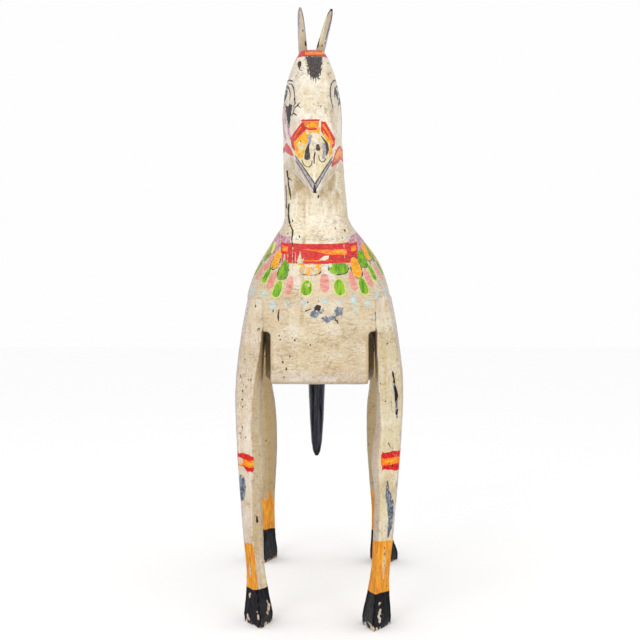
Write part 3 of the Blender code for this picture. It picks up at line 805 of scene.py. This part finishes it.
def paint_body(c):
    paint_collar(c)
    breast = c.y < -95
    c.draw("front", *CHEST_MARKS, where=breast)
    c.lift(("slate",), patch(c.x, c.z, CHEST_CHIP), breast)
    paint_saddle(c)
    c.fields["high"] = smoothstep(c.z, 352, 392)
    across = np.abs(c.x)
    recess = (across > 47) & (c.y < -85)
    # Painted shade in the recesses beside the chest, under the shoulders' ledge.
    c.darken(0.9 * smoothstep(LEDGE_Z - c.z, 0, 12) * smoothstep(c.z, 250, 262) * recess)
    # Darker below the ledge, down to the chest's lower edge.
    c.darken(0.42 * smoothstep(LEDGE_Z + 10 - c.z, 0, 30) * smoothstep(c.z, 249, 256))
    # Darker towards the sides of the chest and the flanks, lower down.
    c.darken(0.30 * smoothstep(across, 26, 40) * smoothstep(345 - c.z, 0, 20) * (c.y < -120))
    c.darken(0.50 * smoothstep(across, 44, 60) * smoothstep(372 - c.z, 0, 30) * (c.y < -60))
    # Painted shade with reflected floor light: the same lavender on the front of the body below z 262.
    c.fields["cool_shade"] = np.maximum(c.fields["cool_shade"], 0.8 * smoothstep(262 - c.z, 0, 10) * (c.y < -80))


# ---- Painting the head and neck ----


MUZZLE_MARKS = (
    *alike("grey", stroke,
           ([(-9.2, 488), (-10.2, 480)], (2.2, 1.5)),
           ([(4, 480), (5.2, 473), (4, 466)], (1.6, 2, 1.4))),
    *alike("line", stroke,
           ([(-10.4, 480), (-11.6, 473), (-11.6, 466.5)], (0.6, 2.2, 2.9)),
           ([(-16.8, 464), (-15.2, 459.6), (-12.6, 457), (-9.4, 456.6), (-7.2, 459.5), (-6.9, 463)], 0.45),
           ([(-1.6, 478.5), (-1.2, 475)], (1.6, 2.2)),
           ([(2, 488), (4.2, 484.8), (6.8, 481), (7.9, 475), (6.9, 469)], (0.4, 0.8, 1.3, 1.5, 0.6)),
           ([(-0.6, 468), (0, 463.8), (2.2, 461.6), (4.8, 462.4), (6, 465)], 0.5),
           ([(-4.2, 471), (-5, 466), (-5, 460)], (0.8, 0.7, 0.5))),
    ("black", stroke, [(-4.4, 439), (-4.4, 430)], (0.7, 2)),
)
SHIELD = [(-27, 485), (-13, 497), (-5, 499), (3, 497), (14, 484), (12, 466), (4, 450), (-4.5, 436),
          (-13, 450), (-22, 466)]
SHIELD_MARKS = (
    ("tan", patch, SHIELD),
    *alike("yellow", patch,
           ([(-25, 483), (-14, 494), (-10, 488), (-13, 478), (-16, 466), (-20, 466), (-22.5, 471)],),
           ([(-13, 497), (1, 497), (0, 491), (-10, 490.5)],),
           ([(3, 495), (12, 482), (12.5, 472), (9.5, 466), (8.5, 476), (6, 485)],)),
    ("orange", stroke, [(-22.5, 484), (-21.5, 474)], (1.2, 0.6)),
    *alike("flaked", oval, ((-18, 478), (5, 8)), ((9.2, 481), (2.5, 7)), ((-8, 494), (5, 2))),
)


def paint_muzzle(c):
    """The muzzle's golden shield with an ivory ridge down its middle, the nostrils, the lips and painted
    shade on the faces that look down.
    """
    face = (c.y < -186) & (c.ny < 0.1)
    c.draw("front", *SHIELD_MARKS, *MUZZLE_MARKS, where=face)
    ridge = stroke(c.x, c.z, [(-5, 488), (-5.5, 478), (-5.5, 466), (-4.6, 444)], (4.4, 3.6, 2.4, 0.9))
    c.lift(("tan", "yellow"), ridge, face)
    for inner, outer in (([(-23.2, 469), (-4.6, 440.5)], [(-22.8, 464), (-4.6, 433)]),
                         ([(12.6, 468), (-3.6, 440.5)], [(12.4, 463.5), (-4.2, 433)])):
        lines = alike("line", stroke, (inner, (0.35, 0.7)), (outer, (0.3, 0.45)))
        c.draw("front", ("grey", patch, [*inner, *reversed(outer)]), *lines, where=face)
    # Painted shade on the faces of the head that look down.
    c.darken(0.8 * smoothstep(-c.nz, 0.3, 0.8) * (c.y < -150))


NOSEBAND_MARKS = (
    ("red", patch, [(-16, 504.5), (-28.5, 489), (-27, 479), (-23.5, 473.5), (-21.5, 480), (-12.5, 496)]),
    ("red", patch, [(1.4, 504), (6, 503.5), (15.3, 487.5), (15, 480), (12.3, 476), (10, 481), (1.6, 493)]),
    ("orange", stroke, [(-24.5, 488), (-18, 498)], 0.6),
    ("orange", patch, [(-16, 504.7), (-0.3, 504.7), (-0.8, 496), (-13, 496)]),
    ("orange", stroke, [(3.5, 500), (9, 491), (13, 482)], 1),
    ("yellow", oval, (-5.8, 500.2), (3.2, 2.2)),
    ("yellow", oval, (-11.5, 499), (1.6, 1.2)),
    ("pink", stroke, [(-12, 495.8), (-7, 494.4), (-1.5, 495.6)], 0.8),
    ("flaked", stroke, [(7, 500), (13, 488)], 1),
)
NOSEBAND_RIMS = (([(-17, 504.9), (0, 504.9)], 1), ([(-13, 497.6), (-9.5, 495.4), (-3, 496)], 1.1))


def paint_noseband(c):
    face = c.y < -178
    c.draw("front", *NOSEBAND_MARKS, where=face)
    for points, half_width in NOSEBAND_RIMS:
        rim = stroke(c.x, c.z, points, half_width)
        c.lift(("orange", "yellow"), rim, face)
        c.lay("red", rim, face)
    c.lift(("red", "orange", "yellow"), stroke(c.x, c.z, [(0.5, 505), (0.9, 492)], 0.45), face)


LEFT_JOWL = [(-45, 487), (-32.6, 486.6), (-30.3, 482.8), (-27.3, 477), (-24.8, 469.5), (-27.5, 470.7),
             (-32, 475.8), (-35, 481), (-45, 481.5)]
LEFT_CHEEK = [(-40, 538), (-36.8, 537), (-34.4, 522), (-31.5, 508), (-28.6, 494), (-27, 487), (-29.4, 489),
              (-33.6, 503), (-40, 512)]
LEFT_CHEEK_STRAP = [(-112, 580), (-111, 546), (-122, 526), (-137, 511), (-172, 491)]
LEFT_BROW_LINE = [(-23.5, 579), (-28.5, 570), (-32, 563), (-35, 552), (-38, 540)]
RIGHT_JOWL_MARKS = (
    ("red", patch, [(11.2, 458), (13.8, 468), (16.2, 476), (19, 481.5), (22.3, 485.5), (34, 486), (34, 474),
                    (21.5, 472), (18.5, 465.6), (13, 459)]),
    ("orange", patch, [(13.4, 462), (15.2, 470), (18.5, 478), (22.5, 483), (34, 484), (34, 476), (21, 475),
                       (17.5, 467)]),
    ("yellow", stroke, [(16.5, 469), (18.5, 474)], 1.1),
)
BROW_MARKS = (
    ("pink", box, (-17.5, 584.5), (2.6, 2.6)),
    ("orange", box, (-6, 583.2), (9, 2.2)),
    ("yellow", box, (4.8, 585.5), (2.2, 2)),
)


def paint_straps(c):
    """The straps on the cheeks and jowls, and the band across the brow."""
    jowls = c.y > -222
    c.draw("front", ("red", patch, LEFT_JOWL), where=jowls & (c.x < -20))
    c.draw("front", *RIGHT_JOWL_MARKS, where=jowls & (c.x > 5))
    c.draw("front", ("mauve", patch, LEFT_CHEEK), where=(c.x < -20) & (c.ny < -0.25))
    c.draw("left", ("mauve", stroke, LEFT_CHEEK_STRAP, (5, 5, 8.5, 8.5, 2.5)))
    c.draw("front", ("pink", stroke, LEFT_BROW_LINE, 0.7), where=c.ny < -0.12)
    c.lay("mauve", np.abs(c.y + 124 - 0.10 * (c.z - 530)) - 6, (c.nx > 0.5) & (c.z > 492))
    top = (c.z > 565) & (c.y < -112)
    c.lay("red", np.abs(c.z - 583.4) - 4.8, top)
    c.add(c.x, c.z, BROW_MARKS, top)
    c.lay("grey", np.maximum(588.6 - c.z, np.abs(c.y + 117) - 16), c.z > 586)


EYE_FRONT_MARKS = alike(
    "line", stroke,
    ([(-31.5, 550), (-28, 548), (-25.8, 543), (-25, 536), (-24.2, 529)], (0.4, 0.6, 0.7, 0.5, 0.4)),
    ([(-33, 546), (-30.6, 543.6), (-29.2, 538), (-29.6, 531)], (0.6, 0.6, 0.5, 0.4)),
    ([(14, 551), (11.8, 547.5), (10.6, 540), (11.2, 531), (13.4, 519)], (0.4, 0.6, 0.6, 0.6, 0.4)),
    ([(16, 544), (14.8, 539), (15.4, 533)], (0.4, 0.5, 0.4)),
    ([(15.8, 541.5), (17, 538), (18.4, 532)], (0.8, 1.5, 0.7)),
    ([(20.5, 535.5), (19.4, 530), (18.8, 525)], (0.8, 0.5, 0.3)),
)
EYE_SIDE_MARKS = alike(
    "black", stroke,
    ([(-160, 551), (-150, 554), (-138, 554), (-127, 549), (-118, 541)], (0.5, 0.9, 1, 0.9, 0.4)),
    ([(-158, 545), (-150, 548), (-138, 548), (-128, 543), (-121, 537)], (0.5, 1, 1.2, 1, 0.6)),
    ([(-158, 530), (-145, 527), (-134, 529), (-127, 532), (-121, 537)], (0.4, 0.7, 0.8, 0.7, 0.6)),
)
RIGHT_PUPIL = ("black", stroke, [(15.6, 544), (17, 539.5), (18.2, 533)], (0.8, 1.9, 0.8))
RIGHT_LID = ("line", stroke, [(20, 541), (21.6, 536), (20.6, 530), (18.6, 526)], (0.4, 0.8, 0.7, 0.3))


def paint_eyes(c):
    """Long outlined eyes that run from the face's corners round onto the sides of the head."""
    c.draw("front", *EYE_FRONT_MARKS)
    left_rim = (c.y < -142) & (c.x < -31) & (c.ny < -0.05)
    c.draw("front", ("black", oval, (-35.4, 538), (2.2, 3.2)), where=left_rim)
    c.draw("front", RIGHT_PUPIL, where=c.ny < -0.1)
    c.draw("front", RIGHT_LID, where=c.ny < -0.05)
    c.draw("left", *EYE_SIDE_MARKS, ("black", oval, (-150, 538), (8, 6.6)))
    c.draw("right", *EYE_SIDE_MARKS, ("black", oval, (-144, 538), (6, 6.6)))
    for side, y in ((-1, -150), (1, -146)):
        c.lift(("black",), oval(c.y, c.z, (y, 540.5), (1.6, 1.4)), side * c.nx > 0.3)


FORELOCK = [(-14.5, 579), (3, 579), (2.8, 568), (1.2, 560), (-1, 553), (-6, 551), (-9, 555), (-12, 565)]
FORELOCK_ENDS = ((-11.5, 556), (-9, 550), (-6.3, 548), (-4, 546.5), (-1.6, 549), (0.6, 555))


def paint_forelock(c):
    hairs = alike("line", stroke, *(([(x, 562), (x + 0.4, end)], (1.1, 0.25)) for x, end in FORELOCK_ENDS))
    c.draw("front", ("bristle", patch, FORELOCK), *hairs, ("black", oval, (-20.3, 569.5), (2, 4.4)),
           ("line", stroke, [(-20.6, 565), (-19.2, 562), (-17.2, 561.5)], (0.6, 0.5, 0.4)))


def paint_mane(c):
    crest = c.x + 7 + 2.5 * noise(c.points, 14, 5)
    length = noise(c.points, (3, 3, 30), 6)
    c.lay("bristle", np.abs(crest) - (16 + 4 * length), (c.ny > 0.35) & (c.z > 424) & (c.y > -112))


NECK_CRACKS = alike(
    "crack", stroke,
    ([(-19.5, 525), (-21.5, 522), (-24.6, 520), (-27, 512)], (0.4, 0.8, 0.4, 0.4)),
    ([(-21.5, 522), (-19, 519.5)], (0.5, 0.4)),
    ([(-26, 515), (-22.5, 511.5)], (0.5, 0.5)),
    ([(-25, 531), (-24, 525), (-26, 521)], (0.5, 0.6, 0.4)),
    ([(-33, 462), (-32, 455), (-28, 452)], (0.9, 0.7, 0.4)),
    ([(-32, 455), (-31.5, 448), (-30, 441), (-29, 433)], (0.5, 0.6, 0.8, 0.5)),
    ([(-31, 428), (-31.5, 416), (-30.2, 409)], (0.8, 0.7, 0.9)),
    ([(-34, 448), (-33.5, 425)], (0.4, 0.6)),
)
CHEEK_CHIP = [(-35, 529), (-31.5, 525), (-30, 528), (-26.8, 524), (-27.4, 514), (-28.6, 508), (-29.6, 500),
              (-31.8, 506), (-33.6, 516)]


def darken_head_and_neck(c):
    """Darker planes beside the forehead, brown stains down the face and both sides of the neck, darker
    blotches under the head, painted shade on the neck's sides and the head's painted shadow on the neck.
    """
    front = smoothstep(-c.ny, 0, 0.5)
    # Darker on the planes beside the forehead.
    beside = smoothstep(np.abs(c.x + 7.5), 13.5, 16) * smoothstep(c.z, 492, 505)
    c.darken(0.26 * beside * front)
    stain = stroke(c.x, c.z, [(7.4, 560), (8.6, 545), (8.2, 530), (6, 514)], (0.6, 1.4, 1.8, 2))
    blotches = 0.55 + 0.9 * noise(c.points, (4, 4, 9), 12)
    c.darken(0.60 * blotches * smoothstep(1.0 - stain, 0, 2.5) * front)
    below = stroke(c.x, c.z, [(10, 522), (13, 510), (16, 500)], (2.5, 4.5, 3.5))
    c.darken(0.45 * smoothstep(2 - below, 0, 4) * front)
    neck = c.z < np.minimum(470, 432 + 1.65 * np.abs(c.x + 4.4))
    wave = 3 * noise(c.points, (8, 8, 22), 8)
    c.darken(0.9 * blotches * smoothstep(4 - np.abs(c.x + 17 + wave), 0, 4) * neck * front)
    c.darken(0.7 * blotches * smoothstep(6 - np.abs(c.x - 17 + wave), 0, 5) * neck * front)
    # Painted shade on the neck's sides.
    c.darken(0.50 * smoothstep(np.abs(c.x + 5), 21, 27) * neck)
    # Darker blotches on the neck under the head.
    c.darken(0.75 * blotches * neck * (c.y < -150) * smoothstep(c.z, 428, 440))
    # Painted shadow that the head casts on the neck.
    jaw_shadow = smoothstep(6 - np.abs(c.z - 452 - 0.9 * np.abs(c.x + 5)), 0, 7)
    c.darken(0.40 * jaw_shadow * neck * front)


def paint_head(c):
    # On the neck and head, keeps half of the painted side shade on the left and a fifth on the right.
    kept_side_shade = np.where(c.x < -5, 0.5, 0.2)
    c.fields["cool_shade"] *= 1 + (kept_side_shade - 1) * smoothstep(c.z, 385, 430)
    paint_mane(c)
    paint_muzzle(c)
    paint_noseband(c)
    paint_straps(c)
    paint_eyes(c)
    paint_forelock(c)
    darken_head_and_neck(c)
    c.draw("front", *NECK_CRACKS, where=c.ny < -0.1)
    c.draw("front", ("chip", patch, CHEEK_CHIP))


# ---- The pieces ----


def part_at_seam(bm, keep_above):
    """A copy of the carcass above or below the neck's seam, with its cut end closed."""
    half = bm.copy()
    cut = bmesh.ops.bisect_plane(
        half,
        geom=half.verts[:] + half.edges[:] + half.faces[:],
        plane_co=(0, 0, NECK_SEAM_Z * MM),
        plane_no=(0, 0, 1),
        clear_outer=not keep_above,
        clear_inner=keep_above,
    )
    rim = [e for e in cut["geom_cut"] if isinstance(e, bmesh.types.BMEdge)]
    bmesh.ops.triangle_fill(half, edges=rim, use_beauty=False)
    bmesh.ops.recalc_face_normals(half, faces=half.faces)
    return half


def make_carcass():
    """Body, neck and head worked as one surface, then parted at the neck's seam."""
    def decorated(x, y, z):
        front = y < -118 and z > 296
        flank = y < 10 and z > 325 and abs(x) > 20
        head = z > NECK_SEAM_Z and y < -104
        return head or front or flank

    def lined(x, y, z):
        muzzle = y < -186 and 428 < z < 506
        eyes = y < -116 and 506 < z < 557 and abs(x + 6) > 15
        forelock = y < -120 and 543 < z < 581 and -25 < x < 5
        return muzzle or eyes or forelock

    blocks = {"body_barrel": 0, "neck_and_head": -SEAM_SINK}
    bm, canvas = carve(blocks, voxel=1.9, rounds=9, rough=0.55, finer=(decorated, lined))
    paint_body(canvas)
    paint_head(canvas)
    canvas.store(bm)
    body, head = part_at_seam(bm, False), part_at_seam(bm, True)
    bm.free()
    add_piece("carved_body", body, paint("cream_body", LOW_CREAM), "cream_painted_wood", "body_barrel")
    add_piece("carved_neck_and_head", head, paint("cream_neck", CREAM), "cream_painted_wood",
              "neck_and_head")


# The hind legs' darker tones are painted shade, for legs that stand behind the forelegs and under the body.
LEG_LOOKS = {
    "foreleg_left": {"light": rgb(229, 218, 204), "cream": rgb(211, 196, 175), "seed": 5.0},
    "foreleg_right": {"light": rgb(228, 221, 196), "cream": rgb(212, 201, 168), "seed": 6.0},
    "hindleg_left": {"light": rgb(192, 172, 130), "cream": rgb(172, 146, 102), "seed": 7.0},
    "hindleg_right": {"light": rgb(194, 176, 138), "cream": rgb(176, 154, 114), "seed": 8.0},
}
LEG_FINISH = {
    "above": LOW_CREAM,
    "specular": 0.05,
    "coat": 0,
    "jagged": 1.3,
    "specks": 0.90,
    "under": rgb(70, 80, 98),
}


def paint_hoof(c, top, chips):
    """A black hoof with a worn rim and pale chips."""
    c.lay("black", c.z - (top + 1.5 * noise(c.points, (9, 9, 30), 4)))
    c.lay("flaked", np.abs(c.z - 1.5) - 2.5)
    c.lift(("black", "ochre"), c.z - 6.5 * noise(c.points, (3.5, 3.5, 9), 10))
    for points, widths in chips:
        seen = (c.ny < 0.1) & (c.z < top)
        c.lift(("black", "ochre"), stroke(c.x, c.z, points, widths) + 1.3 * noise(c.points, 1.8, 14), seen)


def paint_foreleg(c, side):
    """A banded foreleg with an ochre pastern, a black hoof and painted shade on its inner and back faces.
    """
    outside = side * c.x > (66.5 if side < 0 else 62)
    band_z = 166.5 if side < 0 else 169.5
    ragged = 1.8 * noise(c.points, (4, 4, 60), 7)
    above = c.z - 0.05 * (c.y + 140) - band_z
    c.lay("red", np.abs(above) - 9.6 - ragged, outside | (c.ny > 0))
    c.lay("orange", np.abs(above - ragged) - 3.4, outside | (c.ny > 0))
    c.lay("yellow", box(c.x, above - ragged, (side * 71, 0), (4, 1.2)), outside & (c.ny < 0))
    # Painted shade on the inner face, which looks towards the middle.
    inner = smoothstep(-side * c.nx, 0.05, 0.45)
    c.darken((0.68 if side < 0 else 0.42) * inner * smoothstep(c.z, 36, 90))
    # Painted shade on the faces that look back.
    c.darken(0.5 * smoothstep(c.ny, 0.1, 0.6) * smoothstep(c.z, 60, 100))
    c.fields["high"] = smoothstep(c.z, 285, 330)
    # Darker on the upper leg, below the body.
    c.darken(0.42 * smoothstep(c.z, 180, 250) * smoothstep(335 - c.z, 0, 50))
    if side < 0:
        paint_left_foreleg(c)
    else:
        paint_right_foreleg(c)


# Each scratch's place in the front view and half its length
LEFT_FORELEG_SCRATCHES = (
    (-75.6, 270, 1.6), (-80.6, 254, 1.4), (-77.2, 245, 2), (-74.7, 243, 1.2), (-78, 238, 2.4),
    (-72, 250, 1.3), (-80.6, 225, 1.6), (-78.5, 202, 1.2), (-80.6, 193.5, 2.6),
)
LEFT_FORELEG_MARKS = (
    ("slate", oval, (-79.5, 140), (4.6, 14)),
    ("chip", patch, [(-65, 112), (-63, 111), (-62.5, 104), (-64.5, 103)]),
    ("flaked", oval, (-79.5, 170), (3, 5)),
    *alike("chip", stroke,
           *(([(x - 0.4, z + half), (x + 0.4, z - half)], 0.5) for x, z, half in LEFT_FORELEG_SCRATCHES)),
)
LEFT_BAND_NOTCHES = (
    [(-83, 172), (-78.4, 170.5), (-77.4, 167), (-79.4, 164), (-83, 165)],
    [(-83, 163), (-77, 162.5), (-75, 159), (-71.5, 155), (-83, 154)],
    [(-71, 178), (-70.4, 173.5), (-66, 172.5), (-66, 178)],
)
LEFT_HOOF_CHIPS = (
    ([(-72, 30), (-71.5, 27)], (1.2, 0.8)),
    ([(-54, 23), (-52, 17), (-53, 9)], (0.5, 1.4, 0.6)),
    ([(-63, 15), (-62, 9)], (0.5, 1)),
    ([(-74, 8), (-73, 5)], (1, 1.6)),
)
LEFT_STREAK = [(-58, 297), (-61.3, 271), (-63.8, 249), (-66.4, 228), (-68.5, 196), (-68.5, 183)]


def paint_left_foreleg(c):
    # Keeps the painted side shade only where the leg faces outward.
    c.fields["cool_shade"] *= smoothstep(-c.nx, -0.1, 0.2)
    ochre_edge = smoothstep(c.x - np.interp(c.z, (36, 82), (-62.5, -67)), -0.6, 0.6)
    c.lay("ochre", c.z - (82 - 60 * ochre_edge + 1.5 * noise(c.points, (5, 5, 40), 3)))
    c.lay("tan", stroke(c.x, c.z, [(-61, 66), (-58, 48), (-56, 37)], (0.4, 1.6, 2.2)), c.ny < 0.1)
    c.lift(("ochre",), stroke(c.x, c.z, [(-71.5, 62), (-71, 54), (-70.5, 47)], (0.3, 1.1, 0.3)), c.ny < 0)
    paint_hoof(c, 36.5, LEFT_HOOF_CHIPS)
    for corners in LEFT_BAND_NOTCHES:
        c.lift(("red", "orange", "yellow"), patch(c.x, c.z, corners), c.ny < 0.2)
    c.draw("front", *LEFT_FORELEG_MARKS)
    edge = stroke(c.x, c.z, [(-81, 300), (-85, 275), (-86.5, 240), (-85, 200), (-82, 150)], 0.9)
    c.lay("slate", edge + 1.2, (c.ny < 0.2) & (c.nx < 0))
    streak = stroke(c.x, c.z, LEFT_STREAK, (0.8, 1.4, 1.6, 1.2, 0.9, 0.6))
    c.darken(0.7 * (0.7 + 0.8 * noise(c.points, (4, 4, 12), 12)) * smoothstep(1.0 - streak, 0, 2))


RIGHT_FORELEG_MARKS = (
    ("crack", stroke, [(64, 84), (66.5, 78), (65.2, 70), (66, 60)], (0.1, 0.35, 0.2, 0.1)),
    *alike("slate", stroke,
           ([(68.5, 148), (69, 137), (71.5, 126), (72.5, 112), (71, 98), (69.5, 90)],
            (0.8, 2.6, 4, 3, 2, 0.8)),
           ([(75, 250), (77.5, 234), (78.5, 212)], (1, 1.8, 1))),
    *alike("chip", stroke,
           ([(70, 122), (71, 117), (71, 114)], (0.2, 0.7, 0.2)),
           ([(74.3, 258), (76.3, 247)], (1.1, 0.8)),
           ([(76.8, 243), (78.2, 234), (77.4, 230)], (1.2, 2, 1.2)),
           ([(79.6, 221), (78.2, 216)], (0.7, 1.5)),
           ([(69.4, 187), (72, 182), (75.5, 181)], (0.4, 0.7, 0.3))),
    *alike("flaked", oval, ((78, 176), (4, 4)), ((77, 168), (2, 8))),
)
RIGHT_HOOF_CHIPS = (
    ([(60.5, 25), (60, 23)], 0.9),
    ([(61.5, 19), (60, 14), (60.5, 8)], (0.5, 1.8, 1)),
    ([(50, 6), (54, 4)], 1),
)


def paint_right_foreleg(c):
    c.lay("ochre", c.z - (87 + 1.5 * noise(c.points, (5, 5, 40), 3)))
    c.lift(("ochre",), stroke(c.x, c.z, [(66, 78), (65, 62), (65, 48)], (0.4, 1.3, 0.4)), c.ny < 0)
    paint_hoof(c, 35, RIGHT_HOOF_CHIPS)
    c.draw("front", *RIGHT_FORELEG_MARKS)


def paint_hindleg(c):
    # Half the painted side shade.
    c.fields["cool_shade"] *= 0.5
    c.lay("ochre", c.z - (91 + 3 * noise(c.points, (6, 6, 40), 3)))
    gaps = 6 * noise(c.points, (9, 9, 16), 13) + 2.6 - 0.10 * (c.z - 70)
    c.lift(("ochre",), gaps, (c.z > 60) & (c.ny < 0.3))
    paint_hoof(c, 41, ())
    # Painted shade on the front faces above the pastern, behind the forelegs and under the body.
    c.darken(0.75 * smoothstep(-c.ny, 0, 0.5) * smoothstep(c.z, 60, 110))


def make_legs():
    """Carves and paints the legs. Returns each leg's canvas."""
    canvases = {}
    for name, look in LEG_LOOKS.items():
        side = -1 if name.endswith("left") else 1
        fore = name.startswith("fore")
        rough, buried_side = (0.35, side) if fore else (0.45, 0)
        bm, canvas = carve({name: 0}, voxel=1.35, rounds=5, rough=rough, buried_side=buried_side)
        if fore:
            paint_foreleg(canvas, side)
        else:
            paint_hindleg(canvas)
        canvas.store(bm)
        look = dict(CREAM, **LEG_FINISH, **look)
        add_piece("carved_" + name, bm, paint("cream_" + name, look), "painted_leg_wood", name)
        canvases[name] = canvas
    return canvases


EARS = {
    "ear_left": (
        ("grey", stroke, [(-20.6, 638), (-22.4, 618), (-22.6, 601)], (1.2, 1.2, 0.5)),
        ("line", stroke, [(-19.6, 636), (-16.4, 622), (-14, 606), (-12.8, 600)], (0.3, 0.4, 0.5, 0.8)),
        ("black", oval, (-14.5, 597), (1, 3)),
        ("crack", oval, (-17.4, 610.6), (0.6, 1.3)),
    ),
    "ear_right": (
        ("black", oval, (13, 636), (2.5, 3.5)),
        ("grey", stroke, [(13.6, 634), (11.8, 620), (8, 607), (6.2, 601)], (1, 1.1, 0.9, 0.6)),
        ("line", stroke, [(13.6, 634), (12.2, 624), (8.4, 609), (5.9, 601)], (0.5, 0.4, 0.4, 0.3)),
        ("line", stroke, [(11.4, 634), (7.7, 628)], 0.5),
        ("tan", stroke, [(6.5, 625), (2, 608), (-1.5, 597)], (1, 1.8, 1.8)),
        ("line", stroke, [(-0.5, 602), (-2, 594)], (0.6, 1.2)),
    ),
}


def make_ears():
    look = dict(CREAM, light=rgb(196, 184, 162), cream=rgb(168, 150, 122), seed=9)
    material = paint("cream_ears", look)
    for name, marks in EARS.items():
        bm, canvas = carve({name: 0}, voxel=0.75, rounds=3, rough=0.2)
        canvas.draw("front", *marks)
        canvas.lay("grey", 6.0 - 8.0 * smoothstep(np.abs(canvas.nx), 0.8, 0.98), canvas.z > 588)
        canvas.store(bm)
        add_piece("carved_" + name, bm, material, "cream_painted_wood", name)


def make_tail():
    bm, _ = carve({"tail": 0}, voxel=1.2, rounds=1, rough=0.2, edge_keep=0.02)
    add_piece("carved_tail", bm, black_paint("black_tail"), "black_painted_wood", "tail", flat_above=20.0)


def plane_round(leg, y, z, side):
    """A plane through a leg's outer face round a peg hole: X there, and its slopes along Y and Z."""
    away = np.hypot(leg.y - y, leg.z - z)
    rim = (away > 6.5) & (away < 10.0) & (side * leg.nx > 0.6)
    terms = np.stack((np.ones(rim.sum()), leg.y[rim] - y, leg.z[rim] - z), axis=1)
    return np.linalg.lstsq(terms, leg.x[rim], rcond=None)[0]


def make_pegs(legs):
    """Round pegs, trimmed flush with the carved legs and painted over with them."""
    materials = {}
    for leg_name, look in LEG_LOOKS.items():
        materials[leg_name] = paint("peg_" + leg_name, dict(CREAM, **LEG_FINISH, **look))
    steps = 32
    for name in [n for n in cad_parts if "_peg_" in n]:
        leg_name = name[:name.index("_peg_")]
        side = -1 if leg_name.endswith("left") else 1
        low, high = (np.array(corner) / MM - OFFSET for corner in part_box(name))
        y, z = (low[1:] + high[1:]) / 2
        radius = (high[2] - low[2]) / 2
        inner = side * min(abs(low[0]), abs(high[0]))
        x, slope_y, slope_z = plane_round(legs[leg_name], y, z, side)
        angles = 2 * math.pi * np.arange(steps) / steps
        points = []
        # Each ring's share of the radius, its X (None: on the leg's face) and how far out it stands
        rings = ((0.9, inner, 0.0), (1.0, inner, 0.8), (1.0, None, -0.5), (0.93, None, 0.1))
        for share, start, rise in rings:
            dy, dz = radius * share * np.cos(angles), radius * share * np.sin(angles)
            outer_x = x + slope_y * dy + slope_z * dz
            ring_x = outer_x if start is None else np.full(steps, start)
            points.append(np.stack((ring_x + side * rise, y + dy, z + dz), axis=1))
        bm = bmesh.new()
        rows = [[bm.verts.new(Vector(p + OFFSET) * MM) for p in ring] for ring in points]
        for a_row, b_row in zip(rows, rows[1:]):
            for k in range(steps):
                bm.faces.new((a_row[k], a_row[k - 1], b_row[k - 1], b_row[k]))
        bm.faces.new(rows[0])
        bm.faces.new(rows[-1])
        bmesh.ops.recalc_face_normals(bm, faces=bm.faces)
        points = np.concatenate(points)
        outward = np.tile((0.9 * side, 0.0, 0.0), (len(points), 1))
        Canvas(points, outward, np.zeros(len(points))).store(bm)
        add_piece("flush_" + name, bm, materials[leg_name], "bare_wood", name)


def dress_cad_nodes():
    """The dowels inside the neck stay as CAD and take a wood material."""
    material = bare_wood("dowel_wood")
    for name in ("neck_dowel_front", "neck_dowel_rear"):
        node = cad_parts[name]
        node.data.materials.clear()
        node.data.materials.append(material)


# ---- The stage, with its sizes and places in metres ----


def plain_material(name, colour):
    material = bpy.data.materials.new(name)
    material.use_nodes = True
    shader = material.node_tree.nodes["Principled BSDF"]
    shader.inputs["Base Color"].default_value = colour
    shader.inputs["Roughness"].default_value = 0.9
    return material


def area_light(name, place, target, size, watts):
    light = bpy.data.lights.new(name, "AREA")
    light.shape = "RECTANGLE"
    light.size, light.size_y = size
    light.energy = watts
    thing = bpy.data.objects.new(name, light)
    bpy.context.scene.collection.objects.link(thing)
    thing.location = place
    thing.rotation_euler = (Vector(target) - Vector(place)).to_track_quat("-Z", "Y").to_euler()


def make_stage():
    mesh = bpy.data.meshes.new("floor")
    reach = 12
    mesh.from_pydata([(-reach, -reach, 0), (reach, -reach, 0), (reach, reach, 0), (-reach, reach, 0)], [],
                     [(0, 1, 2, 3)])
    mesh.materials.append(plain_material("pale_floor", (0.98, 0.98, 0.98, 1.0)))
    floor = bpy.data.objects.new("floor", mesh)
    bpy.context.scene.collection.objects.link(floor)
    world = bpy.data.worlds.new("studio")
    world.use_nodes = True
    background = world.node_tree.nodes["Background"]
    background.inputs["Color"].default_value = (1.0, 1.0, 1.0, 1.0)
    background.inputs["Strength"].default_value = 0.99
    bpy.context.scene.world = world
    area_light("key", (-0.9, -2.1, 1.0), (0, 0, 0.33), (0.9, 1.2), 14.0)
    area_light("fill", (1.0, -2.1, 0.6), (0, 0, 0.33), (0.9, 1.2), 10.0)


def make_camera():
    """A level camera in front of the horse at two fifths of its height."""
    camera = bpy.data.objects.new("camera", bpy.data.cameras.new("camera"))
    bpy.context.scene.collection.objects.link(camera)
    camera.data.lens = 67.5
    camera.data.clip_start = 0.01
    place = Vector((np.array((3.0, -1366.0, 311.0)) + OFFSET) * MM)
    target = Vector((np.array((0.5, -166.0, 311.0)) + OFFSET) * MM)
    camera.location = place
    camera.rotation_euler = (target - place).to_track_quat("-Z", "Y").to_euler()
    bpy.context.scene.camera = camera


make_carcass()
LEG_CANVASES = make_legs()
make_ears()
make_tail()
make_pegs(LEG_CANVASES)
dress_cad_nodes()
make_stage()
make_camera()
bpy.context.scene.view_settings.view_transform = "Standard"
